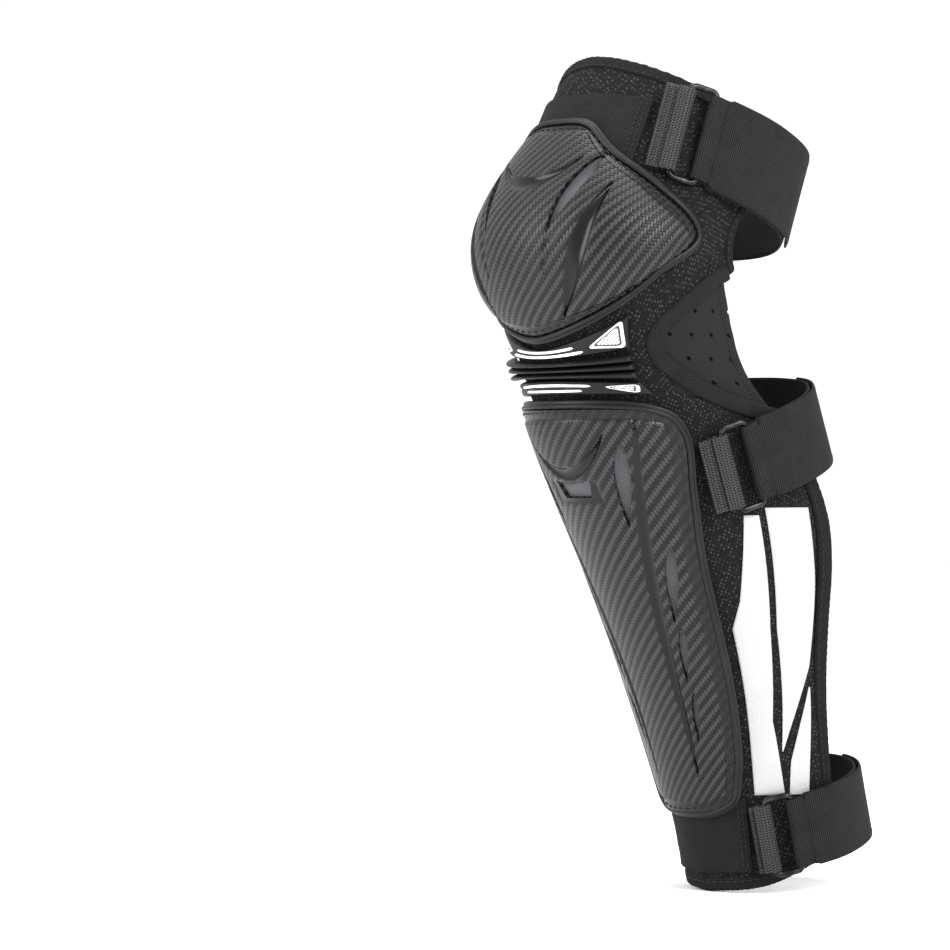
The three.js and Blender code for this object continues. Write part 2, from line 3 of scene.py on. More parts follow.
import bpy
import numpy as np
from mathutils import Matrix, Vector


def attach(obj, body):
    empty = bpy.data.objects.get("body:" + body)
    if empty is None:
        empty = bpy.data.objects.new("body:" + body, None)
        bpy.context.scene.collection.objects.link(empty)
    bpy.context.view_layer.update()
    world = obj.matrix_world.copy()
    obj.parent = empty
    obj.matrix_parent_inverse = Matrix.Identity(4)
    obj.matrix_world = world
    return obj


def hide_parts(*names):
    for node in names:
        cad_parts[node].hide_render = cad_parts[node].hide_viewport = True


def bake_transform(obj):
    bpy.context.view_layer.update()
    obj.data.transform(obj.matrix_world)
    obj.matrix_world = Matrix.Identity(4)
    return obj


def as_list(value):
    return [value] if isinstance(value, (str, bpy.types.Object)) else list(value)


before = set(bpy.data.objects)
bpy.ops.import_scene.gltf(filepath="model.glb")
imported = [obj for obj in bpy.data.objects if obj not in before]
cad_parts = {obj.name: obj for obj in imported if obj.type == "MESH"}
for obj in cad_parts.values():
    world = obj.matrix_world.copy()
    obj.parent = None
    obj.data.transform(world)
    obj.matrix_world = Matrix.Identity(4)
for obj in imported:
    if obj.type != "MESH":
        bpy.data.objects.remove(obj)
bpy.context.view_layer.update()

# ---- Thigh sleeve --------------------------------------------------------------------------
# The upper half of the guard's body: a three-layer spacer knit, cut as one panel with a domed
# top, that wraps the front and both sides of the lower thigh.  Its ground is black and the
# knit's open cells show as rows of pale dots.  Everything on the thigh is sewn to it.
MM = 0.001
SLEEVE_THICKNESS = 3.2
TAPE_WIDTH = 5.5
TAPE_GAP = 0.35

# The leg inside the sleeve, as (height, millimetres) rows.
LEG_HALF_WIDTH = (
    (-310, 46), (-262, 52), (-194, 65), (-130, 69.5), (-67, 67), (-27, 64),
    (8, 66), (40, 66), (70, 65.5), (101, 64), (140, 60),
)
LEG_FRONT = (
    (-310, 63), (-262, 52), (-194, 27), (-130, -4), (-67, -39), (-27, -53.5),
    (8, -61), (40, -65), (70, -55), (101, -42.5), (140, -22),
)
LEG_DEPTH = (
    (-310, 60), (-262, 66), (-194, 86), (-130, 104), (-67, 108), (-27, 76),
    (8, 62), (40, 59), (70, 66), (101, 76), (140, 78),
)


def through(rows, at):
    """Smooth curve through (place, value) rows: a cubic between neighbouring rows, with the
    slope at a row equal to that of the straight line between the rows on either side."""
    table = np.array(rows, float)
    at = np.asarray(at, float)
    place, value = table[:, 0], table[:, 1]
    last = len(table) - 1
    before = np.maximum(np.arange(last + 1) - 1, 0)
    after = np.minimum(np.arange(last + 1) + 1, last)
    slope = (value[after] - value[before]) / (place[after] - place[before])
    i = np.clip(np.searchsorted(place, at) - 1, 0, last - 1)
    span = place[i + 1] - place[i]
    t = (at - place[i]) / span
    s = 1 - t
    ends = value[i] * s * s * (1 + 2 * t) + value[i + 1] * t * t * (3 - 2 * t)
    return ends + span * t * s * (slope[i] * s - slope[i + 1] * t)


def lerp(a, b, t):
    """Straight blend: a at t = 0, b at t = 1."""
    return a + (b - a) * t


def ease(low, high, x):
    """0 below low, 1 above high, and the cubic 3t^2 - 2t^3 between them."""
    t = np.clip((x - low) / (high - low), 0, 1)
    return t * t * (3 - 2 * t)


def unit(vectors):
    """Each vector divided by its length."""
    return vectors / np.maximum(np.linalg.norm(vectors, axis=-1, keepdims=True), 1e-9)


def skin(degrees, height):
    """Sleeve's outer face at an angle round the leg and a height: half an ellipse in front of
    the widest point, and a nearly straight side behind it."""
    degrees, height = np.broadcast_arrays(np.asarray(degrees, float), np.asarray(height, float))
    half, front, depth = (through(rows, height) for rows in (LEG_HALF_WIDTH, LEG_FRONT, LEG_DEPTH))
    angle = np.radians(np.abs(degrees))
    bent = np.minimum(angle, np.pi / 2)
    past = np.maximum(angle - np.pi / 2, 0)
    across = np.sign(degrees) * half * np.sin(bent) * np.cos(0.4 * past)
    back = front + depth * (1 - np.cos(bent) + past)
    return np.stack([across, back, height], axis=-1)


def skin_normal(degrees, height):
    """Outward direction: the cross product of the steps round the leg and up it."""
    around = skin(degrees + 0.5, height) - skin(degrees - 0.5, height)
    up = skin(degrees, height + 0.5) - skin(degrees, height - 0.5)
    return unit(np.cross(around, up))


def on_leg(degrees, height, lift):
    """Point at a lift above the sleeve's outer face, along the outward direction."""
    lift = np.asarray(lift, float)
    return skin(degrees, height) + skin_normal(degrees, height) * lift[..., None]


def net(columns, rows):
    """Two grids, u across and v up, both from 0 to 1."""
    return np.meshgrid(np.linspace(0, 1, columns + 1), np.linspace(0, 1, rows + 1))


def uneven(x, y, size):
    """Unevenness from -1 to 1: four sine waves in different directions."""
    x, y = x / size, y / size
    total = np.sin(x * 1.7 + y * 0.6) + np.sin(y * 2.3 - x * 0.9 + 1.3)
    total = total + np.sin(x * 3.1 + y * 2.2 + 4.1) * 0.6 + np.sin(y * 4.3 - x * 2.7 + 2.2) * 0.5
    return total / 3.1


def flat_cut(points):
    """Where each grid point lies on the flat cut: lengths along its row from the middle
    column, and lengths up its column."""
    rows = np.linalg.norm(np.diff(points, axis=1), axis=-1).cumsum(axis=1)
    columns = np.linalg.norm(np.diff(points, axis=0), axis=-1).cumsum(axis=0)
    across = np.pad(rows, ((0, 0), (1, 0)))
    across = across - across[:, across.shape[1] // 2][:, None]
    return np.stack([across, np.pad(columns, ((1, 0), (0, 0)))], axis=-1)


def grid_faces(rows, columns):
    """Four-cornered faces of a grid of (rows + 1) by (columns + 1) points."""
    corner = np.arange(rows * (columns + 1)).reshape(rows, columns + 1)[:, :columns].reshape(-1)
    return np.stack([corner, corner + 1, corner + columns + 2, corner + columns + 1], axis=1)


def make_piece(name, points, faces, flat=None, marks=None):
    """Mesh object from points in millimetres.  Faces are turned outwards when the volume that
    they enclose comes out negative.  flat is each point's place on the flat cut."""
    points = np.asarray(points, float).reshape(-1, 3)
    a, b, c, d = (points[faces[:, k]] for k in range(4))
    volume = (a * np.cross(b, c)).sum() + (a * np.cross(c, d)).sum()
    if volume < 0:
        faces = faces[:, ::-1]
    mesh = bpy.data.meshes.new(name)
    mesh.from_pydata((points * MM).tolist(), [], faces.tolist())
    mesh.polygons.foreach_set("use_smooth", np.ones(len(faces), bool))
    if flat is not None:
        corners = np.zeros(len(mesh.loops), np.int32)
        mesh.loops.foreach_get("vertex_index", corners)
        place = np.asarray(flat, float).reshape(-1, 2)[corners] * MM
        mesh.uv_layers.new(name="flat").data.foreach_set("uv", place.ravel())
    for mark, values in (marks or {}).items():
        layer = mesh.attributes.new(mark, "FLOAT", "POINT")
        layer.data.foreach_set("value", np.asarray(values, np.float32).ravel())
    mesh.update()
    piece = bpy.data.objects.new(name, mesh)
    bpy.context.scene.collection.objects.link(piece)
    return piece


def slab(name, outer, inner, flat=None, marks=None, roll=0.4):
    """Closed panel between two faces on one grid.  A middle line round the edge stands out by
    roll times the thickness, so that the cut edge is rounded."""
    rows, columns = outer.shape[0] - 1, outer.shape[1] - 1
    r = np.concatenate([np.zeros(columns), np.arange(rows), np.full(columns, rows), np.arange(rows, 0, -1)])
    c = np.concatenate([
        np.arange(columns), np.full(rows, columns), np.arange(columns, 0, -1), np.zeros(rows),
    ])
    r, c = r.astype(int), c.astype(int)
    near_r, near_c = np.clip(r, 1, rows - 1), np.clip(c, 1, columns - 1)
    if rows == 1:
        near_r = r
    if columns == 1:
        near_c = c
    edge, low = outer[r, c], inner[r, c]
    away = unit(edge - outer[near_r, near_c])
    thickness = np.linalg.norm(edge - low, axis=-1, keepdims=True)
    middle = (edge + low) / 2 + away * thickness * roll
    count = (rows + 1) * (columns + 1)
    loop = r * (columns + 1) + c
    ring = 2 * count + np.arange(len(loop))
    faces = grid_faces(rows, columns)
    wall_out = np.stack([np.roll(loop, -1), loop, ring, np.roll(ring, -1)], axis=1)
    wall_in = np.stack([np.roll(ring, -1), ring, count + loop, np.roll(count + loop, -1)], axis=1)
    everything = np.concatenate([faces, faces[:, ::-1] + count, wall_out, wall_in])
    flat = flat_cut(outer) if flat is None else flat
    cut = np.concatenate([flat.reshape(-1, 2), flat.reshape(-1, 2), flat[r, c]])
    kept = {}
    for mark, values in (marks or {}).items():
        kept[mark] = np.concatenate([values.ravel(), values.ravel(), values[r, c]])
    points = np.concatenate([outer.reshape(-1, 3), inner.reshape(-1, 3), middle])
    return make_piece(name, points, everything, cut, kept)


def wire(tree, kind, values=(), out=0, **settings):
    """Adds one node, sets or links its inputs in turn or by name, and gives one output."""
    node = tree.nodes.new(kind)
    for key, value in settings.items():
        setattr(node, key, value)
    for key, value in values.items() if isinstance(values, dict) else enumerate(values):
        if isinstance(value, bpy.types.NodeSocket):
            tree.links.new(value, node.inputs[key])
        else:
            node.inputs[key].default_value = value
    return node.outputs[out]


def calc(tree, operation, *values):
    """One step of arithmetic on sockets or numbers."""
    return wire(tree, "ShaderNodeMath", values, operation=operation)


def soft_step(tree, value, low, high):
    """0 below low, 1 above high, smooth between; high may be below low."""
    return wire(tree, "ShaderNodeMapRange", (value, low, high), interpolation_type="SMOOTHSTEP")


def tint(tree, share, first, second):
    """Colour that goes from first to second as share goes from 0 to 1."""
    colours = [c if isinstance(c, bpy.types.NodeSocket) else (*c, 1) for c in (first, second)]
    return wire(tree, "ShaderNodeMix", {0: share, 6: colours[0], 7: colours[1]}, out=2, data_type="RGBA")


def finish(name, colour, roughness, **single):
    """Material with one shader; values that are the same all over sit on its own sockets."""
    material = bpy.data.materials.new(name)
    material.use_nodes = True
    shader = material.node_tree.nodes["Principled BSDF"]
    shader.inputs["Base Color"].default_value = (*colour, 1)
    shader.inputs["Roughness"].default_value = roughness
    for socket, value in single.items():
        shader.inputs[socket.replace("_", " ")].default_value = value
    return material, material.node_tree, shader


def relief(tree, shader, height, distance, strength=1.0):
    """Sends a height pattern, in millimetres of depth, to the shader as bump."""
    bump = wire(tree, "ShaderNodeBump", {"Height": height, "Strength": strength, "Distance": distance * MM})
    tree.links.new(bump, shader.inputs["Normal"])


def cloth_place(tree, cell, turn=0.0):
    """Place on the flat cut in cells of the given size, turned by some degrees."""
    place = wire(tree, "ShaderNodeUVMap", uv_map="flat")
    scale = 1 / (cell * MM)
    return wire(tree, "ShaderNodeMapping", {
        "Vector": place, "Rotation": (0, 0, math.radians(turn)), "Scale": (scale, scale, scale),
    })


def spacer_knit(name, ground, dot, pitch):
    """Black knit with a pale thread showing in each open cell, over a fine raised stitch."""
    material, tree, shader = finish(name, ground, 0.92, Specular_IOR_Level=0.12)
    place = cloth_place(tree, pitch, 38)
    cells = tree.nodes.new("ShaderNodeTexVoronoi")
    cells.voronoi_dimensions = "2D"
    cells.inputs["Scale"].default_value = 1.0
    cells.inputs["Randomness"].default_value = 0.3
    tree.links.new(place, cells.inputs["Vector"])
    spot = soft_step(tree, cells.outputs["Distance"], 0.34, 0.18)
    luck = wire(tree, "ShaderNodeSeparateColor", (cells.outputs["Color"],))
    lit = calc(tree, "MULTIPLY", spot, soft_step(tree, luck, 0.15, 0.95))
    tree.links.new(tint(tree, lit, ground, dot), shader.inputs["Base Color"])
    loops = wire(tree, "ShaderNodeTexVoronoi", {"Vector": place, "Scale": 2.7, "Randomness": 0.6})
    height = calc(tree, "ADD", calc(tree, "MULTIPLY", loops, -0.8), calc(tree, "MULTIPLY", spot, 0.5))
    relief(tree, shader, height, 0.5)
    return material


sleeve_knit = spacer_knit("sleeve_knit", (0.008, 0.008, 0.0085), (0.05, 0.05, 0.053), 2.1)


def dress(piece, material, body, slot, *nodes):
    """Gives a piece its material, the body that it moves with, and the nodes it stands for."""
    piece.data.materials.append(material)
    if body:
        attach(piece, body)
    if nodes:
        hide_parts(*nodes)
    return piece


def panel(name, degrees, height, low, high, marks=None, roll=0.4):
    """Slab over the leg between two lifts, on grids of angle and height."""
    high = np.broadcast_to(high, degrees.shape)
    low = np.broadcast_to(low, degrees.shape)
    return slab(name, on_leg(degrees, height, high), on_leg(degrees, height, low), marks=marks, roll=roll)


GUARD_TOP = 140
THIGH_REACH = 108
THIGH_LOWER_EDGE = ((0, -17), (50, -11), (80, 11), (110, 24))


def thigh_top(degrees):
    """Domed top edge: highest at the front, lower by a power of the angle towards the back."""
    return GUARD_TOP - 37 * (np.abs(degrees) / 90) ** 1.7


def thigh_bottom(degrees):
    """Lower edge, which climbs from the front to the hollow behind the knee."""
    return through(THIGH_LOWER_EDGE, np.abs(degrees))


u, v = net(170, 70)
degrees = lerp(-THIGH_REACH, THIGH_REACH, u)
height = lerp(thigh_bottom(degrees), thigh_top(degrees) - TAPE_WIDTH - TAPE_GAP, v)
swell = 0.35 * uneven(degrees, height, 7) + 0.25 * uneven(height, degrees, 3)
thigh_sleeve = panel("thigh_sleeve_knit", degrees, height, -SLEEVE_THICKNESS, swell)
dress(thigh_sleeve, sleeve_knit, "thigh", "air_mesh", "thigh_sleeve")

# ---- Shin sleeve -----------------------------------------------------------------------------
# The lower half, of the same spacer knit.  It is cut wide at the calf and narrow at the ankle,
# and its long back edges stay open so that the straps can close it round any leg.
GUARD_BOTTOM = -310
SHIN_LOWER_EDGE = ((0, -310), (45, -305), (90, -284))
SHIN_UPPER_EDGE = ((0, -41), (55, -40), (90, -55))
CALF_REACH = ((-310, 80), (-226, 70), (-180, 72), (-110, 82), (-45, 84))


def shin_top(degrees):
    """Upper edge, almost level at the front and lower towards the back."""
    return through(SHIN_UPPER_EDGE, np.abs(degrees))


def shin_bottom(degrees):
    """Lower edge, which rises over the heel side."""
    return through(SHIN_LOWER_EDGE, np.abs(degrees))


def calf_reach(height):
    """How far round the leg the shin sleeve reaches at a height."""
    return through(CALF_REACH, height)


def shin_place(v, across, trim=0.0):
    """Angle and height of a shin sleeve point: across gives the angle from the reach at the
    row's rough height, and the height runs between the two edges at that angle."""
    degrees = across(calf_reach(lerp(GUARD_BOTTOM, -50, v)))
    return degrees, lerp(shin_bottom(degrees) + trim, shin_top(degrees), v)


u, v = net(120, 150)
degrees, height = shin_place(v, lambda reach: lerp(-reach, reach, u), TAPE_WIDTH + TAPE_GAP)
swell = 0.35 * uneven(degrees + 40, height, 7) + 0.25 * uneven(height, degrees, 3)
shin_sleeve = panel("shin_sleeve_knit", degrees, height, -SLEEVE_THICKNESS, swell)
dress(shin_sleeve, sleeve_knit, "shin", "air_mesh", "shin_sleeve")

# ---- Edge binding ------------------------------------------------------------------------------
# A ribbed nylon tape folded over every cut edge of both sleeves and sewn through with one row
# of black thread.  It puckers slightly between the stitches.
TAPE_LOW = -3.7
TAPE_HIGH = 0.6
STITCH_RADIUS = 0.32


def ribbed_cloth(name, colour, pitch, turn, depth, roughness=0.82, cross=0.5):
    """Fine raised ribs across the strip, each broken into short floats of yarn, with a painted highlight on
    the rib tops and painted shade between ribs and floats.
    """
    material, tree, shader = finish(name, colour, roughness, Specular_IOR_Level=0.14)
    place = cloth_place(tree, pitch, turn)
    ribs = wire(tree, "ShaderNodeTexWave", {"Vector": place, "Scale": 0.314, "Distortion": 0.0}, out=1)
    floats = wire(tree, "ShaderNodeTexVoronoi", {"Vector": place, "Scale": 1.6, "Randomness": 0.7})
    grain = wire(tree, "ShaderNodeTexNoise", {"Vector": place, "Scale": 0.09, "Detail": 3.0})
    height = calc(tree, "SUBTRACT", ribs, calc(tree, "MULTIPLY", floats, cross))
    # Painted light: the colour follows the relief height, so the raised ribs get a painted highlight and the
    # hollows and float gaps get painted shade; the grain noise adds random tone.
    shade = calc(tree, "MULTIPLY", calc(tree, "ADD", height, 0.35), calc(tree, "ADD", grain, 0.45))
    dark = tuple(0.35 * c for c in colour)
    light = tuple(2.1 * c for c in colour)
    tree.links.new(tint(tree, soft_step(tree, shade, 0.0, 1.2), dark, light), shader.inputs["Base Color"])
    relief(tree, shader, height, depth)
    return material


binding_tape = ribbed_cloth("binding_tape", (0.0075, 0.0075, 0.008), 0.9, 90, 0.25)


def black_thread():
    """Twisted bonded thread: black with a slight sheen and a spiral in its relief."""
    material, tree, shader = finish("sewing_thread", (0.008, 0.008, 0.008), 0.5, Specular_IOR_Level=0.3)
    place = wire(tree, "ShaderNodeTexCoord", out=3)
    twist = wire(tree, "ShaderNodeTexNoise", {"Vector": place, "Scale": 2200.0, "Detail": 1.0})
    shade = tint(tree, twist, (0.003, 0.003, 0.003), (0.018, 0.018, 0.019))
    tree.links.new(shade, shader.inputs["Base Color"])
    relief(tree, shader, twist, 0.12)
    return material


sewing_thread = black_thread()


def evenly(points, outs, pitch, closed=False):
    """Points and outward directions at equal steps along a line, by interpolating lengths."""
    if closed:
        points = np.concatenate([points, points[:1]])
        outs = np.concatenate([outs, outs[:1]])
    run = np.concatenate([[0], np.linalg.norm(np.diff(points, axis=0), axis=1).cumsum()])
    count = max(int(round(run[-1] / pitch)), 2)
    at = np.linspace(0, run[-1], count, endpoint=False) + run[-1] / count / 2
    pick = lambda values: np.stack([np.interp(at, run, values[:, k]) for k in range(3)], axis=1)
    step = 0.3
    ahead = np.stack([np.interp(at + step, run, points[:, k]) for k in range(3)], axis=1)
    behind = np.stack([np.interp(at - step, run, points[:, k]) for k in range(3)], axis=1)
    return pick(points), unit(pick(outs)), unit(ahead - behind)


def stitch_row(name, points, outs, body, pitch=4.2, length=3.0, radius=STITCH_RADIUS,
               closed=False, slot="webbing"):
    """Row of stitches: each is a six-sided bead of thread, thick in the middle, whose two ends
    dip into the cloth.  Rings of the bead are placed along the line's own direction."""
    centre, out, ahead = evenly(points, outs, pitch, closed)
    side = unit(np.cross(ahead, out))
    along = np.array([-0.5, -0.42, -0.2, 0.2, 0.42, 0.5]) * length
    thick = np.array([0.2, 0.75, 1.0, 1.0, 0.75, 0.2]) * radius
    dip = -1.6 * radius * (2 * along / length) ** 4
    turn = np.arange(6) * np.pi / 3
    middle = centre[:, None, :] + ahead[:, None, :] * along[:, None] + out[:, None, :] * dip[:, None]
    spoke = side[:, None, :] * np.cos(turn)[:, None] + out[:, None, :] * np.sin(turn)[:, None]
    points = middle[:, :, None, :] + spoke[:, None, :, :] * thick[None, :, None, None]
    ring = np.arange(5)[:, None] * 6 + np.arange(6)[None, :]
    following = np.arange(5)[:, None] * 6 + (np.arange(6)[None, :] + 1) % 6
    wall = np.stack([ring, following, following + 6, ring + 6], axis=-1).reshape(-1, 4)
    ends = np.array([[3, 2, 1, 0], [5, 4, 3, 0], [30, 31, 32, 33], [30, 33, 34, 35]])
    one = np.concatenate([wall, ends])
    faces = (one[None] + 36 * np.arange(len(centre))[:, None, None]).reshape(-1, 4)
    row = make_piece(name, points, faces)
    return dress(row, sewing_thread, body, slot)


def sewn_line(name, degrees, height, lift, body, **settings):
    """Stitch row that follows angles and heights on the leg at one lift."""
    points = on_leg(degrees, height, np.broadcast_to(lift, degrees.shape))
    return stitch_row(name, points, skin_normal(degrees, height), body, **settings)


def tape(name, degrees, height, body, node):
    """Folded tape: a slab as thick as the sleeve and the tape, puckered along its length."""
    pucker = 0.22 * np.sin((degrees * 1.1 + height) * 1.5) + 0.15 * uneven(degrees, height, 4)
    crown = 0.25 * np.sin(np.pi * np.linspace(0, 1, degrees.shape[1]))[None, :] + 0 * degrees
    if degrees.shape[0] < degrees.shape[1]:
        crown = 0.25 * np.sin(np.pi * np.linspace(0, 1, degrees.shape[0]))[:, None] + 0 * degrees
    piece = panel(name, degrees, height, TAPE_LOW, TAPE_HIGH + pucker + crown, roll=0.28)
    return dress(piece, binding_tape, body, "edge_tape", node)


u, v = net(220, 6)
degrees = lerp(-THIGH_REACH, THIGH_REACH, u)
height = thigh_top(degrees) - TAPE_WIDTH * (1 - v)
thigh_hem = tape("thigh_top_binding", degrees, height, "thigh", "thigh_top_tape")
line = np.linspace(-THIGH_REACH + 1, THIGH_REACH - 1, 300)
sewn_line("thigh_top_stitches", line, thigh_top(line) - 4.4, TAPE_HIGH + 0.25, "thigh")

u, v = net(110, 6)
half = lerp(-1, 1, u)
degrees = half * calf_reach(GUARD_BOTTOM)
height = shin_bottom(degrees) + TAPE_WIDTH * v
shin_hem = tape("shin_bottom_binding", degrees, height, "shin", "shin_bottom_tape")
line = np.linspace(-0.98, 0.98, 200) * calf_reach(GUARD_BOTTOM)
sewn_line("shin_bottom_stitches", line, shin_bottom(line) + 4.4, TAPE_HIGH + 0.25, "shin")

TAPE_START = 0.9
TAPE_END = 5.2
hems = {"thigh": [thigh_hem], "shin": [shin_hem]}
for side, sign in (("right", 1), ("left", -1)):
    u, v = net(6, 60)
    degrees = sign * (THIGH_REACH + lerp(TAPE_START, TAPE_END, u))
    height = lerp(thigh_bottom(degrees), thigh_top(degrees), v)
    hems["thigh"].append(
        tape(f"thigh_back_binding_{side}", degrees, height, "thigh", f"thigh_back_tape_{side}")
    )
    climb = np.linspace(0.02, 0.98, 120)
    line = sign * np.full(120, THIGH_REACH + 1.8)
    sewn_line(f"thigh_back_stitches_{side}", line, lerp(thigh_bottom(line), thigh_top(line), climb),
              TAPE_HIGH + 0.25, "thigh")

    u, v = net(6, 130)
    degrees, height = shin_place(v, lambda reach: sign * (reach + lerp(TAPE_START, TAPE_END, u)))
    hems["shin"].append(
        tape(f"shin_back_binding_{side}", degrees, height, "shin", f"shin_back_tape_{side}")
    )
    climb = np.linspace(0.01, 0.99, 240)
    degrees, height = shin_place(climb, lambda reach: sign * (reach + 1.8))
    sewn_line(f"shin_back_stitches_{side}", degrees, height, TAPE_HIGH + 0.25, "shin")

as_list(hems["thigh"])
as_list(hems["shin"])

# ---- Knee fabric ---------------------------------------------------------------------------------
# Between the two sleeves the fabric has to stretch: a plain knit panel at the front, behind the
# rubber bridge, and a wedge of perforated neoprene on each side, bound by a padded collar.
WEDGE_START = 56
SEAM = 0.5


def knee_span(degrees, v):
    """Height between the shin sleeve's upper edge and the thigh sleeve's lower edge."""
    return lerp(shin_top(degrees) + SEAM, thigh_bottom(degrees) - SEAM, v)


u, v = net(90, 26)
degrees = lerp(-WEDGE_START, WEDGE_START, u)
height = knee_span(degrees, v)
front_panel = panel("knee_front_knit", degrees, height, -SLEEVE_THICKNESS, 0.2 * uneven(degrees, height, 3))
dress(front_panel, sleeve_knit, None, "air_mesh", "knee_front_panel")
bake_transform(front_panel)


def perforated_neoprene():
    """Matt black foam rubber with a fine brushed face and painted shade inside the punched holes."""
    neoprene = (0.010, 0.010, 0.011)
    material, tree, shader = finish("perforated_neoprene", neoprene, 0.88, Specular_IOR_Level=0.14)
    place = cloth_place(tree, 0.55)
    nap = wire(tree, "ShaderNodeTexNoise", {"Vector": place, "Scale": 1.0, "Detail": 4.0})
    hole = wire(tree, "ShaderNodeAttribute", out=2, attribute_name="hole")
    worn = tint(tree, nap, (0.006, 0.006, 0.0065), (0.020, 0.020, 0.021))
    # The punched holes are only shallow dents; the near-black colour inside them is painted shade.
    tree.links.new(tint(tree, hole, worn, (0.001, 0.001, 0.001)), shader.inputs["Base Color"])
    relief(tree, shader, nap, 0.22)
    return material


wedge_foam = perforated_neoprene()
HOLE_RADIUS = 1.15
HOLE_PITCH = 12.5
COLLAR_LINE = (
    (107, 24), (96, 19.5), (84, 13), (73, 5.5), (64, -1.5), (57.5, -8.5), (55, -15), (56, -22),
    (60, -28), (67, -37), (75, -44), (83, -49), (88.5, -51.5),
)


def wedge_reach(v):
    """How far back the wedge reaches, further at its top than at its foot."""
    return lerp(88, 105, v)


def punched(x, y):
    """Share of a hole at a place: staggered rows of round holes one pitch apart."""
    row = np.floor(y / HOLE_PITCH)
    x = x + (row % 2) * HOLE_PITCH / 2
    across = (x / HOLE_PITCH) % 1 - 0.5
    up = (y / HOLE_PITCH) % 1 - 0.5
    return 1 - ease(HOLE_RADIUS * 0.75, HOLE_RADIUS, np.hypot(across, up) * HOLE_PITCH)


def line_on_leg(stops, count, lift):
    """Smooth line through (degrees, height) stops, with its outward directions."""
    stops = np.array(stops, float)
    order = np.arange(len(stops))
    at = np.linspace(0, len(stops) - 1, count)
    degrees = through(np.stack([order, stops[:, 0]], axis=1), at)
    height = through(np.stack([order, stops[:, 1]], axis=1), at)
    return on_leg(degrees, height, np.full(count, lift)), skin_normal(degrees, height)


def sweep(name, centres, outs, profile, closed=False, taper=None, flat_shift=0.0):
    """Profile of (across, out) points carried along a line.  The across direction is at right
    angles to the line and to its outward direction.  Open ends are closed with flat caps."""
    if closed:
        ahead = unit(np.roll(centres, -1, axis=0) - np.roll(centres, 1, axis=0))
    else:
        ahead = unit(np.gradient(centres, axis=0))
    side = unit(np.cross(ahead, outs))
    shape = np.array(profile, float)
    scale = np.ones(len(centres)) if taper is None else taper
    across = side[:, None, :] * shape[:, 0][:, None] * scale[:, None, None]
    out = outs[:, None, :] * shape[:, 1][:, None] * scale[:, None, None]
    points = centres[:, None, :] + across + out
    count, sides = points.shape[:2]
    laps = count if closed else count - 1
    here = np.arange(laps)[:, None] * sides + np.arange(sides)[None, :]
    beside = np.arange(laps)[:, None] * sides + (np.arange(sides)[None, :] + 1) % sides
    total = count * sides
    faces = np.stack([here, beside, (beside + sides) % total, (here + sides) % total], axis=-1).reshape(-1, 4)
    if not closed:
        fan = np.arange(1, sides - 2, 2)
        cap = np.stack([np.zeros_like(fan), fan, fan + 1, fan + 2], axis=1)
        faces = np.concatenate([faces, cap[:, ::-1], cap + (count - 1) * sides])
    run = np.pad(np.linalg.norm(np.diff(centres, axis=0), axis=1).cumsum(), (1, 0))
    around = np.pad(np.linalg.norm(np.diff(shape, axis=0), axis=1).cumsum(), (1, 0))
    flat = np.stack(np.broadcast_arrays(run[:, None], around[None, :] + flat_shift), axis=-1)
    return make_piece(name, points, faces, flat)


def oval(half_width, half_height, count, flatness=2.0):
    """Closed rounded profile: a super-ellipse, squarer as flatness grows."""
    turn = np.arange(count) * 2 * np.pi / count
    x = np.sign(np.cos(turn)) * np.abs(np.cos(turn)) ** (2 / flatness) * half_width
    y = np.sign(np.sin(turn)) * np.abs(np.sin(turn)) ** (2 / flatness) * half_height
    return np.stack([x, y], axis=1)


collar_cloth = ribbed_cloth("collar_cloth", (0.009, 0.009, 0.0095), 0.8, 60, 0.22)
for side, sign in (("right", 1), ("left", -1)):
    u, v = net(150, 170)
    degrees = sign * lerp(WEDGE_START + SEAM, wedge_reach(v), u)
    height = knee_span(degrees, v)
    hole = punched(np.abs(degrees) * 1.15 + 2, height + 3)
    rear = ease(0.86, 0.9, u) - ease(0.9, 0.94, u)
    lift = -0.9 - 1.3 * hole - 0.5 * rear + 0.25 * uneven(degrees, height, 6)
    wedge = panel(f"knee_wedge_{side}", degrees, height, -SLEEVE_THICKNESS, lift, marks={"hole": hole})
    dress(wedge, wedge_foam, None, "neoprene", f"knee_gusset_{side}")
    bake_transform(wedge)

    stops = [(sign * angle, height) for angle, height in COLLAR_LINE]
    centres, outs = line_on_leg(stops, 150, 0.1)
    collar = sweep(f"knee_collar_{side}", centres, outs, oval(4.4, 1.9, 16, 2.6))
    dress(collar, collar_cloth, None, "edge_tape")
    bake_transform(collar)

    climb = np.linspace(0.06, 0.9, 80)
    degrees = sign * lerp(WEDGE_START, wedge_reach(climb), 0.9)
    seam_points = on_leg(degrees, knee_span(degrees, climb), np.full(80, -1.0))
    seam = stitch_row(f"knee_wedge_stitches_{side}", seam_points, skin_normal(degrees, height[0, 0]),
                      None, pitch=3.4, length=2.4)
    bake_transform(seam)

# ---- Knee cup --------------------------------------------------------------------------------------
# A moulded cap over the kneecap: a foam pad, and on it a thin shell with a carbon-look twill
# face.  The shell has a sewn channel round its edge, two pointed vents backed with grey mesh,
# a shallow crescent and two wide polished flutes.  A soft rubber rim covers the raw edge.
CUP_SIDE = ((0, 64), (0.24, 86), (0.58, 58), (0.82, 34), (1, 21))
CUP_SHRINK = 0.965
CUP_EDGE_LIFT = 6.4
CUP_CROWN = 10
SHELL_THICKNESS = 2.2
PAD_FLOOR = 2.9
ACROSS_DEGREE = 1.3


def cup_place(u, v, shrink):
    """Four-sided outline: the side edges bulge round the knee, the bottom edge dips at the
    front as a power of the distance across, and the top edge is almost level."""
    across = lerp(-1, 1, u) * shrink
    up = 0.5 + (v - 0.5) * shrink
    degrees = across * through(CUP_SIDE, up)
    low = -11 + 38 * np.abs(across) ** 1.6
    return degrees, lerp(low, 102 - 8 * across ** 4, up)


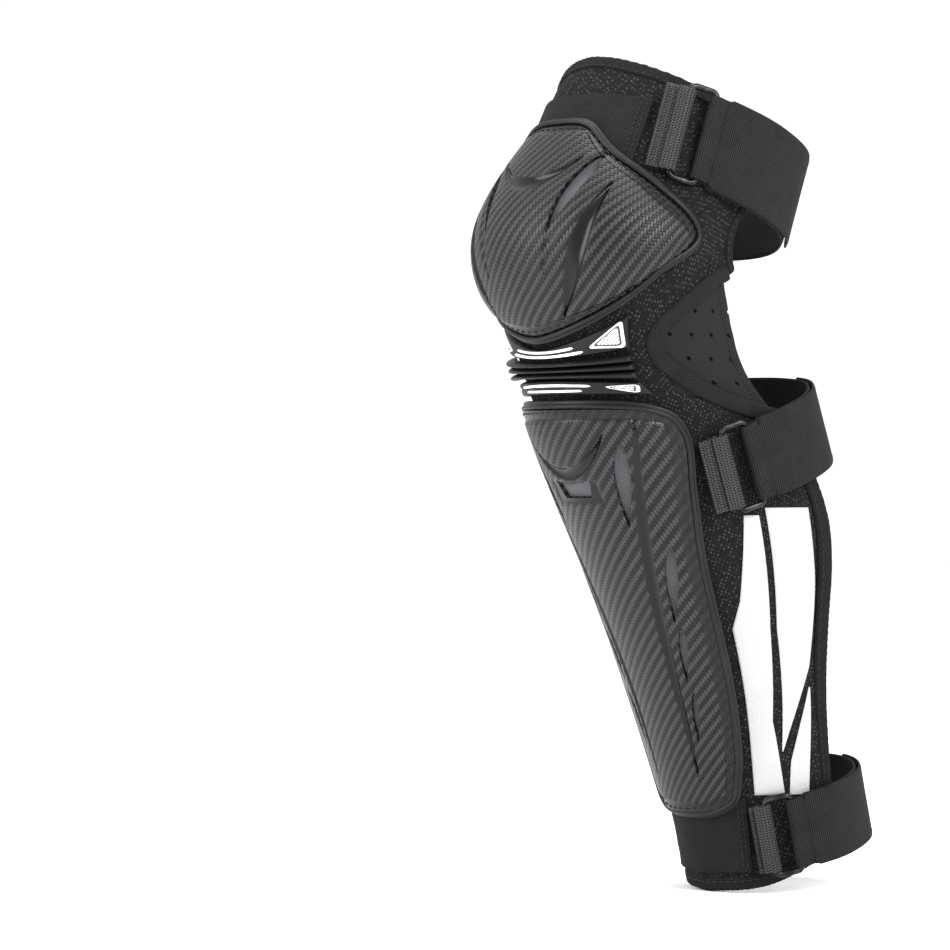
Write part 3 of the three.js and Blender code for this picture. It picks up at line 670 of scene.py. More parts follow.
def cup_lift(u, v):
    """Shell height: the edge height, and a crown that fades towards every edge."""
    fade = (1 - (2 * u - 1) ** 4) * np.sin(np.pi * v ** 0.8) ** 0.8
    return CUP_EDGE_LIFT + CUP_CROWN * np.maximum(fade, 0)


def leaf(degrees, height, start, end, half, bow=0.0, lean=1.0):
    """How far a place is from the middle of a pointed leaf, in half widths: 0 on its middle
    line and 1 on its outline.  The half width is a sine along the leaf, and the middle line
    bows to one side.  Angles are turned into millimetres first."""
    x, y = degrees * ACROSS_DEGREE, height
    start = np.array([start[0] * ACROSS_DEGREE, start[1]])
    run = np.array([end[0] * ACROSS_DEGREE, end[1]]) - start
    length = np.hypot(*run)
    t = ((x - start[0]) * run[0] + (y - start[1]) * run[1]) / length ** 2
    off = ((x - start[0]) * run[1] - (y - start[1]) * run[0]) / length - bow * 4 * t * (1 - t)
    inside = np.clip(t, 0.001, 0.999)
    width = half * np.sin(np.pi * inside ** lean)
    beyond = np.maximum(np.maximum(-t, t - 1), 0) * length
    return (np.abs(off) + beyond) / np.maximum(width, 0.05)


def crescent(degrees, height, half_angle, middle, tips, half):
    """The same measure for a crescent: its middle line is a parabola between two raised tips,
    and it is thickest at the middle."""
    t = degrees / half_angle
    line = middle + (tips - middle) * t ** 2
    width = half * np.maximum(1 - t ** 2, 0.001) ** 0.8
    return np.abs(height - line) / width + 30 * np.maximum(np.abs(t) - 1, 0)


def carbon_look():
    """Two-by-two twill with a satin face.  Each tow floats over two cells: upright where the count of columns
    less rows, taken in fours, is 0 or 1, and level where it is 2 or 3.  The upright tows are painted lighter
    than the level ones as a painted sheen, and each tow has a painted highlight along its middle and painted
    shade at its sides and ends."""
    material, tree, shader = finish("carbon_look", (0.012, 0.012, 0.0125), 0.33, Specular_IOR_Level=0.24)
    place = cloth_place(tree, 1.55)
    split = tree.nodes.new("ShaderNodeSeparateXYZ")
    tree.links.new(place, split.inputs[0])
    x, y = split.outputs[0], split.outputs[1]
    column, row = calc(tree, "FLOOR", x), calc(tree, "FLOOR", y)
    fx, fy = calc(tree, "FRACT", x), calc(tree, "FRACT", y)
    order = calc(tree, "FLOORED_MODULO", calc(tree, "SUBTRACT", column, row), 4.0)
    upright = calc(tree, "LESS_THAN", order, 1.5)
    along_up = calc(tree, "MULTIPLY", calc(tree, "ADD", calc(tree, "SUBTRACT", 1.0, order), fy), 0.5)
    along_level = calc(tree, "MULTIPLY", calc(tree, "ADD", calc(tree, "SUBTRACT", order, 2.0), fx), 0.5)
    across = wire(tree, "ShaderNodeMix", {0: upright, 2: fy, 3: fx})
    along = wire(tree, "ShaderNodeMix", {0: upright, 2: along_level, 3: along_up})

    def fall(value, power):
        """Distance from the tow's middle, raised to a power."""
        away = calc(tree, "ABSOLUTE", calc(tree, "SUBTRACT", calc(tree, "MULTIPLY", value, 2.0), 1.0))
        return calc(tree, "POWER", away, power)

    # Painted light: each tow is painted lightest along its middle and darker towards its sides and ends, a
    # painted highlight and painted shade that follow its relief.
    side_fall = calc(tree, "SUBTRACT", 1.0, calc(tree, "MULTIPLY", fall(across, 2.4), 0.6))
    end_fall = calc(tree, "SUBTRACT", 1.0, calc(tree, "MULTIPLY", fall(along, 3.0), 0.7))
    tow = calc(tree, "MULTIPLY", side_fall, end_fall)
    wear = wire(tree, "ShaderNodeTexNoise", {"Vector": place, "Scale": 0.02, "Detail": 4.0})
    polished = wire(tree, "ShaderNodeAttribute", out=2, attribute_name="polished")
    # Painted sheen: the level tows are painted near-black and the upright tows lighter, standing for the
    # directional reflection of the fibres.
    weft = tint(tree, tow, (0.001, 0.001, 0.001), (0.004, 0.004, 0.0041))
    warp = tint(tree, tow, (0.004, 0.004, 0.0041), (0.038, 0.038, 0.0385))
    woven = tint(tree, upright, weft, warp)
    dust = calc(tree, "MULTIPLY", soft_step(tree, wear, 0.45, 0.8), 0.35)
    dusty = tint(tree, dust, woven, (0.014, 0.014, 0.0145))
    tree.links.new(tint(tree, polished, dusty, (0.0035, 0.0035, 0.0037)), shader.inputs["Base Color"])
    worn = calc(tree, "ADD", 0.36, calc(tree, "MULTIPLY", wear, 0.16))
    satin = calc(tree, "ADD", calc(tree, "MULTIPLY", upright, -0.08), worn)
    smooth = wire(tree, "ShaderNodeMix", {0: polished, 2: satin, 3: 0.2})
    tree.links.new(smooth, shader.inputs["Roughness"])
    depth = calc(tree, "MULTIPLY", tow, calc(tree, "SUBTRACT", 1.0, polished))
    relief(tree, shader, depth, 0.3, 0.8)
    return material


twill_shell = carbon_look()


def rubber(name, colour, roughness, grain):
    """Moulded rubber: a fine spark-eroded grain and slightly paler scuffed high spots."""
    material, tree, shader = finish(name, colour, roughness, Specular_IOR_Level=0.25)
    place = wire(tree, "ShaderNodeTexCoord", out=3)
    fine = wire(tree, "ShaderNodeTexNoise", {"Vector": place, "Scale": 1400.0, "Detail": 3.0})
    scuff = wire(tree, "ShaderNodeTexNoise", {"Vector": place, "Scale": 60.0, "Detail": 5.0})
    pale = tuple(1.7 * c + 0.001 for c in colour)
    tree.links.new(tint(tree, soft_step(tree, scuff, 0.45, 0.75), colour, pale), shader.inputs["Base Color"])
    worn = calc(tree, "ADD", roughness - 0.1, calc(tree, "MULTIPLY", scuff, 0.2))
    tree.links.new(worn, shader.inputs["Roughness"])
    relief(tree, shader, fine, grain)
    return material


rim_rubber = rubber("rim_rubber", (0.004, 0.004, 0.0042), 0.42, 0.05)


def backing_mesh():
    """Grey woven mesh: crossed round threads with dark openings between them."""
    material, tree, shader = finish("backing_mesh", (0.13, 0.125, 0.15), 0.6, Specular_IOR_Level=0.2)
    place = cloth_place(tree, 0.62, 20)
    level = wire(tree, "ShaderNodeTexWave", {"Vector": place, "Scale": 0.314, "Distortion": 0.0}, out=1)
    upright = wire(tree, "ShaderNodeTexWave", {"Vector": place, "Scale": 0.314, "Distortion": 0.0},
                   out=1, bands_direction="Y")
    threads = calc(tree, "MAXIMUM", level, upright)
    colour = tint(tree, soft_step(tree, threads, 0.35, 0.95), (0.02, 0.02, 0.023), (0.15, 0.148, 0.165))
    tree.links.new(colour, shader.inputs["Base Color"])
    relief(tree, shader, threads, 0.25)
    return material


vent_cloth = backing_mesh()


def pad_foam():
    """Dense black foam with small closed cells."""
    material, tree, shader = finish("pad_foam", (0.014, 0.014, 0.015), 0.95)
    place = wire(tree, "ShaderNodeTexCoord", out=3)
    cells = wire(tree, "ShaderNodeTexVoronoi", {"Vector": place, "Scale": 900.0})
    tree.links.new(tint(tree, cells, (0.008, 0.008, 0.008), (0.03, 0.03, 0.031)), shader.inputs["Base Color"])
    relief(tree, shader, cells, 0.4)
    return material


black_foam = pad_foam()


def cut_through(piece, cutters):
    """Takes the cutters out of a closed piece and keeps the result as its mesh."""
    for cutter in cutters:
        step = piece.modifiers.new("vent", "BOOLEAN")
        step.operation = "DIFFERENCE"
        step.solver = "MANIFOLD"
        step.object = cutter
    bpy.context.view_layer.update()
    whole = bpy.data.meshes.new_from_object(piece.evaluated_get(bpy.context.evaluated_depsgraph_get()))
    piece.modifiers.clear()
    piece.data = whole
    whole.materials.clear()
    for cutter in cutters:
        bpy.data.objects.remove(cutter)
    whole.set_sharp_from_angle(angle=math.radians(50))


def vent_grid(start, end, half, columns, rows, bow=0.0, lean=1.0, grow=0.0):
    """Angles and heights that fill a leaf: u runs across it and v along it."""
    u, v = net(columns, rows)
    first = np.array([start[0] * ACROSS_DEGREE, start[1]])
    run = np.array([end[0] * ACROSS_DEGREE, end[1]]) - first
    length = np.hypot(*run)
    t = lerp(0.03, 0.97, v)
    width = half * np.sin(np.pi * t ** lean) + grow
    off = lerp(-1, 1, u) * width + bow * 4 * t * (1 - t)
    x = first[0] + run[0] * t + run[1] / length * off
    y = first[1] + run[1] * t - run[0] / length * off
    return x / ACROSS_DEGREE, y


CUP_VENT = {"start": (30.5, 83), "end": (17, 40), "half": 4.5, "bow": 0.6, "lean": 0.8}
CUP_LIP = {"start": (31.5, 88), "end": (15, 22), "half": 5.0, "bow": 0.8, "lean": 0.8}
CUP_FLUTE = {"start": (38.5, 66), "end": (19.5, 1), "half": 4.8, "bow": -1.6, "lean": 0.9}


def mirrored(feature, sign):
    """The feature on one side: its angles and its bow change sign."""
    flipped = dict(feature)
    flipped["start"] = (sign * feature["start"][0], feature["start"][1])
    flipped["end"] = (sign * feature["end"][0], feature["end"][1])
    flipped["bow"] = sign * feature.get("bow", 0.0)
    return flipped


def hollow(measure):
    """Round-bottomed groove: full depth on the middle line, none at the outline."""
    return np.maximum(1 - measure ** 2, 0) ** 0.8


def edge_distance(u, v, side_rows, shrink, tall):
    """Rough distance in millimetres from the outline: the least of the distances to the side,
    bottom and top edges, with the side's allowing for its slant."""
    reach = through(side_rows, 0.5 + (v - 0.5) * shrink) * shrink * ACROSS_DEGREE
    slant = (through(side_rows, v + 0.01) - through(side_rows, v - 0.01)) * ACROSS_DEGREE / (0.02 * tall)
    beside = (1 - np.abs(2 * u - 1)) * reach / np.sqrt(1 + slant ** 2)
    return np.minimum(beside, np.minimum(v, 1 - v) * tall)


CHANNEL_WIDTH = 5.0
CHANNEL_DEPTH = 1.1

u, v = net(210, 160)
degrees, height = cup_place(u, v, CUP_SHRINK)
inset = edge_distance(u, v, CUP_SIDE, CUP_SHRINK, 108)
channel = 1 - ease(CHANNEL_WIDTH, CHANNEL_WIDTH + 1.1, inset)
smile = crescent(degrees, height, 23, 65, 80, 4.0)
flutes, lips = np.zeros_like(u), np.zeros_like(u)
for sign in (1, -1):
    flutes = np.maximum(flutes, hollow(leaf(degrees, height, **mirrored(CUP_FLUTE, sign))))
    lips = np.maximum(lips, hollow(leaf(degrees, height, **mirrored(CUP_LIP, sign))))
top = cup_lift(u, v) - CHANNEL_DEPTH * channel - 1.5 * hollow(smile) - 1.9 * flutes - 0.9 * lips
polished = np.maximum(np.maximum(channel * 0.7, ease(0, 0.12, flutes)), ease(0, 0.1, hollow(smile)))
flat = np.stack([degrees * ACROSS_DEGREE, height], axis=-1)
outer, inner = on_leg(degrees, height, top), on_leg(degrees, height, top - SHELL_THICKNESS)
knee_shell = slab("knee_cup_shell", outer, inner,
                  flat=flat, marks={"polished": polished}, roll=0.2)
cutters = []
for sign in (1, -1):
    vent = mirrored(CUP_VENT, sign)
    a, z = vent_grid(**vent, columns=10, rows=40)
    cutters.append(panel("vent_cutter", a, z, 1.0, 26.0, roll=0))
cut_through(knee_shell, cutters)
dress(knee_shell, twill_shell, "thigh", "carbon_look", "knee_shell")

u, v = net(70, 56)
degrees, height = cup_place(u, v, 0.93)
pad_top = np.maximum(cup_lift(u, v) - SHELL_THICKNESS - 4.0, PAD_FLOOR + 0.8)
knee_pad = panel("knee_pad_foam", degrees, height, PAD_FLOOR, pad_top)
dress(knee_pad, black_foam, "thigh", "foam", "knee_pad")

for side, sign in (("right", 1), ("left", -1)):
    vent = mirrored(CUP_VENT, sign)
    a, z = vent_grid(**vent, columns=14, rows=44, grow=0.8)
    across = np.clip(a / (through(CUP_SIDE, (z + 5) / 107) * CUP_SHRINK), -0.98, 0.98)
    lift = cup_lift((across + 1) / 2, np.clip((z + 7) / 108, 0.02, 0.98)) - 3.7
    cloth = panel(f"knee_vent_cloth_{side}", a, z, lift - 0.4, lift + 0.2 * uneven(a, z, 2))
    dress(cloth, vent_cloth, "thigh", "vent_mesh", f"knee_vent_mesh_{side}")

# The rim is one moulded bead: a round nose over the shell's edge, a groove, and a thin flange.
RIM_LIFT = 4.5
RIM_SECTION = (
    (0.5, -1.4), (4.0, -1.5), (4.4, -0.9), (4.3, 0.0), (3.7, 0.7), (3.0, 0.6), (2.7, 0.9), (2.6, 1.6),
    (2.1, 2.3), (1.3, 2.5), (0.5, 2.2), (0.0, 1.5), (0.1, 0.6), (0.6, -0.4),
)


def outline(place, shrink, across_count, up_count):
    """Angles and heights once round a four-sided outline, from the bottom left corner."""
    side = np.linspace(0, 1, across_count, endpoint=False)
    rise = np.linspace(0, 1, up_count, endpoint=False)
    u = np.concatenate([side, np.ones(up_count), 1 - side, np.zeros(up_count)])
    v = np.concatenate([np.zeros(across_count), rise, np.ones(across_count), 1 - rise])
    return place(u, v, shrink), (u, v)


def softened(values, reach):
    """Closed run of values, each averaged with its neighbours so that corners turn gently."""
    kernel = np.hanning(2 * reach + 3)[1:-1]
    padded = np.concatenate([values[-reach:], values, values[:reach]])
    share = kernel / kernel.sum()
    columns = range(values.shape[1])
    return np.stack([np.convolve(padded[:, k], share, "valid") for k in columns], axis=1)


def rim(name, place, shrink, counts, body, node):
    """Rim section carried once round the shell's outline."""
    (degrees, height), _ = outline(place, shrink, *counts)
    route = softened(np.stack([degrees, height], axis=1), 3)
    lift = np.full(len(route), RIM_LIFT)
    bead = sweep(name, on_leg(route[:, 0], route[:, 1], lift), skin_normal(route[:, 0], route[:, 1]),
                 RIM_SECTION, closed=True)
    return dress(bead, rim_rubber, body, "soft_rubber", node)


rim("knee_cup_rim", cup_place, CUP_SHRINK, (120, 90), "thigh", "knee_rim")


def channel_stitches(name, place, shrink, counts, lift_of, inset, body):
    """Stitches down the middle of a shell's sewn channel, on an outline drawn in by inset."""
    (degrees, height), (u, v) = outline(place, shrink - inset, *counts)
    route = softened(np.stack([degrees, height], axis=1), 4)
    lift = lift_of(u, v) - CHANNEL_DEPTH + 0.25
    points = on_leg(route[:, 0], route[:, 1], lift)
    return stitch_row(name, points, skin_normal(route[:, 0], route[:, 1]), body, pitch=5.2, length=3.7,
                      radius=0.5, closed=True)


def cup_channel_lift(u, v):
    """Shell height a little inside the edge, where the channel's middle runs."""
    return cup_lift(0.5 + (u - 0.5) * 0.955, 0.5 + (v - 0.5) * 0.955)


channel_stitches("knee_cup_stitches", cup_place, CUP_SHRINK, (120, 90), cup_channel_lift, 0.043, "thigh")

# ---- Flex bridge -------------------------------------------------------------------------------------
# Soft rubber joins the cup to the shin plate: an upper plate, three hollow rolls that fan out
# and close up as the knee bends, and a lower plate.  White rubber lines and dotted badges are
# moulded into the plates.
BRIDGE_REACH = 44
PLATE_LOW = 1.0
PLATE_HIGH = 3.8
bridge_rubber = rubber("bridge_rubber", (0.0035, 0.0035, 0.0037), 0.5, 0.06)


def bridge_line(level, degrees):
    """Height of the bridge at a level from 0 at the lower plate to 1 at the upper plate: the
    lines spread apart with the square of the distance from the middle."""
    side = (degrees / BRIDGE_REACH) ** 2
    return lerp(lerp(-32.2, -21.2, level), lerp(-33, -16.2, level), side)


def plate_edge(degrees):
    """Upper edge of the upper plate: under the cup's rim at the front, higher at the sides."""
    under_cup = -11 + 38 * np.abs(degrees / 75) ** 1.6 - 5.2
    return np.maximum(under_cup, -16.4 + 12 * (degrees / 46) ** 4)


def moulded(u, v, low, high, round_u, round_v):
    """Lift of a plate whose top falls in a quarter circle towards each edge."""
    near = np.minimum(np.minimum(u, 1 - u) / round_u, np.minimum(v, 1 - v) / round_v)
    return low + (high - low) * np.sqrt(np.maximum(1 - (1 - np.clip(near, 0, 1)) ** 2, 0.05))


u, v = net(120, 22)
degrees = lerp(-1, 1, u) * (BRIDGE_REACH + 2 * v)
height = lerp(bridge_line(1, degrees), plate_edge(degrees), v)
lift = moulded(u, v, PLATE_LOW, PLATE_HIGH, 0.02, 0.12)
upper_plate = panel("bridge_upper_rubber", degrees, height, PLATE_LOW, lift)
dress(upper_plate, bridge_rubber, "thigh", "soft_rubber", "bridge_upper_plate")

degrees = lerp(-1, 1, u) * lerp(BRIDGE_REACH + 3, BRIDGE_REACH, v)
height = lerp(-39.6, bridge_line(0, degrees), v)
lift = moulded(u, v, PLATE_LOW, PLATE_HIGH, 0.02, 0.12)
lower_plate = panel("bridge_lower_rubber", degrees, height, PLATE_LOW, lift)
dress(lower_plate, bridge_rubber, "shin", "soft_rubber", "bridge_lower_plate")

ROLL_COUNT = 3
for roll in range(1, ROLL_COUNT + 1):
    u, v = net(110, 14)
    degrees = lerp(-BRIDGE_REACH, BRIDGE_REACH, u)
    half = 0.95 + 0.75 * (degrees / BRIDGE_REACH) ** 2
    across = -np.cos(np.pi * v)
    height = bridge_line(1 - roll / (ROLL_COUNT + 1), degrees) + across * half
    ends = np.sqrt(np.maximum(1 - (1 - np.clip(np.minimum(u, 1 - u) / 0.03, 0, 1)) ** 2, 0.02))
    lift = 3.6 + (3.9 * ends) * np.sin(np.pi * v) ** 0.9
    roll_piece = panel(f"bridge_roll_{roll}", degrees, height, PLATE_LOW + 0.3, lift, roll=0.1)
    dress(roll_piece, bridge_rubber, f"rib_{roll}", "soft_rubber", f"bridge_rib_{roll}")

white_rubber = rubber("white_rubber", (0.80, 0.80, 0.80), 0.45, 0.04)


def badge_face():
    """White badge with a dark line inside its border and rows of small dark dots."""
    material, tree, shader = finish("badge_face", (0.8, 0.8, 0.8), 0.5)
    border = wire(tree, "ShaderNodeAttribute", out=2, attribute_name="border")
    cells = tree.nodes.new("ShaderNodeTexVoronoi")
    cells.voronoi_dimensions = "2D"
    cells.inputs["Scale"].default_value = 1.0
    cells.inputs["Randomness"].default_value = 0.0
    tree.links.new(cloth_place(tree, 1.35, 45), cells.inputs["Vector"])
    dots = soft_step(tree, cells.outputs["Distance"], 0.40, 0.30)
    ring = calc(tree, "MULTIPLY", soft_step(tree, border, 0.95, 1.1), soft_step(tree, border, 1.75, 1.6))
    inner = calc(tree, "MULTIPLY", dots, soft_step(tree, border, 1.6, 1.75))
    dark = calc(tree, "MAXIMUM", ring, calc(tree, "MULTIPLY", inner, 0.75))
    tree.links.new(tint(tree, dark, (0.80, 0.80, 0.80), (0.03, 0.03, 0.032)), shader.inputs["Base Color"])
    relief(tree, shader, calc(tree, "SUBTRACT", 1.0, dark), 0.3)
    return material


dotted_badge = badge_face()


def white_line(name, reach, level, sag, width, body):
    """Thin moulded line across a plate, sagging at the middle, with pointed ends."""
    u, v = net(60, 4)
    degrees = lerp(-reach, reach, u)
    half = width / 2 * np.minimum(np.minimum(u, 1 - u) / 0.05, 1) ** 0.5 + 0.05
    height = level - sag * (1 - (degrees / reach) ** 2) + lerp(-1, 1, v) * half
    line = panel(name, degrees, height, PLATE_HIGH - 0.4, PLATE_HIGH + 0.45, roll=0.2)
    return dress(line, white_rubber, body, "white_rubber")


white_line("bridge_line_1", 18.5, -15.4, 2.2, 0.9, "thigh")
white_line("bridge_line_2", 23, -17.4, 2.5, 1.0, "thigh")
white_line("bridge_line_3", 22.5, -34.9, -0.4, 1.0, "shin")
white_line("bridge_line_4", 18, -37.3, 0.2, 0.8, "shin")


def badge(name, corner_a, corner_b, corner_c, body, node, rounding):
    """Rounded three-cornered badge: rings from its middle out to an outline that is the
    corners' triangle with each corner cut by a quadratic curve."""
    corners = np.array([corner_a, corner_b, corner_c], float)
    pieces = []
    for k in range(3):
        here, before, after = corners[k], corners[k - 1], corners[(k + 1) % 3]
        start, stop = lerp(here, before, rounding), lerp(here, after, rounding)
        t = np.linspace(0, 1, 9)[:, None]
        pieces.append((1 - t) ** 2 * start + 2 * t * (1 - t) * here + t ** 2 * stop)
    edge = np.concatenate(pieces)
    closed = np.concatenate([edge, edge[:1]])
    run = np.pad(np.linalg.norm(np.diff(closed * [1.2, 1], axis=0), axis=1).cumsum(), (1, 0))
    at = np.linspace(0, run[-1], 60, endpoint=False)
    edge = np.stack([np.interp(at, run, closed[:, k]) for k in range(2)], axis=1)
    middle = edge.mean(axis=0)
    share = np.linspace(0.04, 1, 16)[:, None, None]
    rings = middle + (edge - middle) * share
    radius = np.linalg.norm((edge - middle) * [1.2, 1], axis=1)
    border = (1 - share[:, :, 0]) * np.minimum(radius, 4.5)[None, :]
    raised = PLATE_HIGH + 0.55 - 0.35 * ease(0.8, 1.1, border)
    raised[-1] -= 0.3
    outer = on_leg(rings[..., 0], rings[..., 1], raised)
    inner = on_leg(rings[..., 0], rings[..., 1], np.full(raised.shape, PLATE_HIGH - 0.5))
    count, sides = raised.shape
    here = np.arange(count - 1)[:, None] * sides + np.arange(sides)[None, :]
    beside = np.arange(count - 1)[:, None] * sides + (np.arange(sides)[None, :] + 1) % sides
    face = np.stack([here, beside, beside + sides, here + sides], axis=-1).reshape(-1, 4)
    total = count * sides
    loop = (count - 1) * sides + np.arange(sides)
    wall = np.stack([loop, np.roll(loop, -1), np.roll(loop, -1) + total, loop + total], axis=1)
    hub = np.stack([np.zeros(29, int), np.arange(1, 58, 2), np.arange(2, 59, 2), np.arange(3, 60, 2)], axis=1)
    faces = np.concatenate([face, face[:, ::-1] + total, wall, hub[:, ::-1], hub + total])
    flat = np.concatenate([(rings * [1.2, 1]).reshape(-1, 2)] * 2)
    marks = {"border": np.concatenate([border.ravel(), border.ravel()])}
    made = make_piece(name, np.concatenate([outer.reshape(-1, 3), inner.reshape(-1, 3)]), faces, flat, marks)
    return dress(made, dotted_badge, body, "white_rubber", node)


for side, sign in (("right", 1), ("left", -1)):
    badge(f"bridge_upper_badge_{side}", (sign * 43, -0.8), (sign * 42.5, -15.2), (sign * 25, -15.8), "thigh",
          f"bridge_upper_insert_{side}", 0.16)
    badge(f"bridge_lower_badge_{side}", (sign * 26.5, -35.2), (sign * 43, -33.9), (sign * 42, -38.7), "shin",
          f"bridge_lower_insert_{side}", 0.3)

# ---- Shin plate --------------------------------------------------------------------------------------
# A long moulded plate down the shin, built like the cup: foam pad, carbon-look shell with a
# sewn channel, rubber rim.  It has two long flutes, four pointed vents on each side and a
# hooded scoop below the knee, all backed with grey mesh.
PLATE_SIDE = ((0, 29), (0.12, 33), (0.6, 37), (0.8, 43.5), (0.94, 49.5), (1, 49))
PLATE_SHRINK = 0.985
PLATE_EDGE_LIFT = 6.4
PLATE_CROWN = 2.4


def plate_place(u, v, shrink):
    """Four-sided outline of the plate, wide below the knee and narrow at the ankle."""
    across = lerp(-1, 1, u) * shrink
    up = 0.5 + (v - 0.5) * shrink
    degrees = across * through(PLATE_SIDE, up)
    return degrees, lerp(-265.5 + 9 * across ** 4, -44.5 - 7 * np.abs(across) ** 7, up)


def plate_lift(u):
    """Shell height: the edge height and a low crown across the plate."""
    return PLATE_EDGE_LIFT + PLATE_CROWN * (1 - (2 * u - 1) ** 2)


PLATE_VENTS = (
    {"start": (27.0, -63), "end": (17.4, -108), "half": 3.8, "bow": 0.5, "lean": 0.75},
    {"start": (29.4, -118), "end": (21, -160), "half": 3.0, "bow": 0.4, "lean": 0.75},
    {"start": (23.2, -161), "end": (18.8, -192), "half": 2.3, "bow": 0.3, "lean": 0.75},
    {"start": (20.6, -196), "end": (17.4, -225), "half": 1.8, "bow": 0.2, "lean": 0.75},
)
FLUTE_LINE = ((-243, 14), (-187, 14), (-125, 19.5), (-51, 35))

u, v = net(150, 270)
degrees, height = plate_place(u, v, PLATE_SHRINK)
inset = edge_distance(u, v, PLATE_SIDE, PLATE_SHRINK, 217)
channel = 1 - ease(CHANNEL_WIDTH, CHANNEL_WIDTH + 1.1, inset)
smile = crescent(degrees, height, 22, -78, -58, 3.6)
along = np.clip((height + 245) / 196, 0, 1)
flute_half = 0.4 + 2.6 * np.sin(np.pi * along ** 1.15) ** 0.7
away = (np.abs(degrees) - through(FLUTE_LINE, np.clip(height, -243, -51))) * ACROSS_DEGREE
flute = hollow(away / flute_half) * ease(0, 0.03, along) * ease(1, 0.97, along)
lips = np.zeros_like(u)
for vent in PLATE_VENTS:
    lip = dict(vent, half=vent["half"] + 1.1)
    for sign in (1, -1):
        lips = np.maximum(lips, hollow(leaf(degrees, height, **mirrored(lip, sign))))
line = -78 + 20 * (degrees / 22) ** 2
tongue = ease(0, 5, height - line) * ease(23, 18, np.abs(degrees)) * ease(-51, -60, height)
scoop_rim = ease(13.5, 11, np.abs(degrees)) * ease(-95, -92, height) * ease(-80, -84, height)
top = plate_lift(u) - CHANNEL_DEPTH * channel - 1.6 * hollow(smile) - 1.3 * flute - 0.7 * lips
top = top + 0.8 * tongue - 0.7 * scoop_rim
polished = np.maximum(np.maximum(channel * 0.7, ease(0, 0.15, flute)), ease(0, 0.1, hollow(smile)))
polished = np.maximum(polished, ease(0.1, 0.6, scoop_rim))
flat = np.stack([degrees * ACROSS_DEGREE, height], axis=-1)
outer, inner = on_leg(degrees, height, top), on_leg(degrees, height, top - SHELL_THICKNESS)
shin_shell = slab("shin_plate_shell", outer, inner,
                  flat=flat, marks={"polished": polished}, roll=0.2)
cutters = []
for vent in PLATE_VENTS:
    for sign in (1, -1):
        a, z = vent_grid(**mirrored(vent, sign), columns=8, rows=34)
        cutters.append(panel("vent_cutter", a, z, 1.0, 16.0, roll=0))
u, v = net(16, 6)
scoop_angle = lerp(-1, 1, u) * lerp(7.2, 9.6, v)
scoop_height = lerp(-91, -83.4, v) + 2.2 * (scoop_angle / 10) ** 2 * v
cutters.append(panel("vent_cutter", scoop_angle, scoop_height, 1.0, 16.0, roll=0))
cut_through(shin_shell, cutters)
dress(shin_shell, twill_shell, "shin", "carbon_look", "shin_shell")

u, v = net(50, 90)
degrees, height = plate_place(u, v, 0.955)
pad_top = np.maximum(plate_lift(u) - SHELL_THICKNESS - 3.4, PAD_FLOOR + 0.4)
shin_pad = panel("shin_pad_foam", degrees, height, PAD_FLOOR, np.minimum(pad_top, 3.7))
dress(shin_pad, black_foam, "shin", "foam", "shin_pad")


def plate_cloth_lift(degrees, height):
    """Height of the mesh behind the plate's vents: just under the shell."""
    up = (height + 265.5) / 221
    across = degrees / (through(PLATE_SIDE, up) * PLATE_SHRINK)
    return plate_lift((across + 1) / 2) - SHELL_THICKNESS - 1.25


for side, sign in (("right", 1), ("left", -1)):
    for name, vents in (("upper", PLATE_VENTS[:1]), ("middle", PLATE_VENTS[1:2]), ("lower", PLATE_VENTS[2:])):
        for k, vent in enumerate(vents):
            a, z = vent_grid(**mirrored(vent, sign), columns=10, rows=36, grow=0.7)
            lift = plate_cloth_lift(a, z)
            cloth = panel(f"shin_vent_cloth_{name}_{side}_{k + 1}", a, z, lift - 0.35, lift)
            nodes = (f"shin_vent_mesh_{name}_{side}",) if k == 0 else ()
            dress(cloth, vent_cloth, "shin", "vent_mesh", *nodes)
u, v = net(20, 10)
a = lerp(-1, 1, u) * 11
z = lerp(-92.4, -80.5, v)
lift = plate_cloth_lift(a, z)
scoop_cloth = panel("shin_scoop_cloth", a, z, lift - 0.35, lift + 0.5 * v)
dress(scoop_cloth, vent_cloth, "shin", "vent_mesh", "shin_scoop_mesh")

rim("shin_plate_rim", plate_place, PLATE_SHRINK, (90, 180), "shin", "shin_rim")


def plate_channel_lift(u, v):
    """Plate height a little inside the edge."""
    return plate_lift(0.5 + (u - 0.5) * 0.95)


def plate_inset_height(u, v):
    """Heights of the plate outline with its foot raised and its top lowered by 2.8 mm."""
    side = np.abs(2 * u - 1)
    return lerp(-262.3 + 9 * side ** 4, -47.6 - 7 * side ** 7, v)


def plate_inset_place(u, v, shrink):
    """Plate outline drawn in by the same distance at the sides and at the ends."""
    degrees, _ = plate_place(u, v, shrink)
    side = degrees - np.sign(2 * u - 1) * np.minimum(np.abs(2 * u - 1), 1) * 2.1
    return side, plate_inset_height(u, v)


channel_stitches("shin_plate_stitches", plate_inset_place, PLATE_SHRINK, (90, 180),
                 plate_channel_lift, 0.0, "shin")

# ---- Front elastics ------------------------------------------------------------------------------------
# Three wide bands of woven elastic are laid across the front of the sleeves, under the shells,
# and sewn down at both ends.  They carry the pull of the straps round the front of the leg.
BAND_LOW = 0.9
BAND_HIGH = 2.3
woven_elastic = ribbed_cloth("woven_elastic", (0.009, 0.009, 0.0095), 1.05, 62, 0.32)


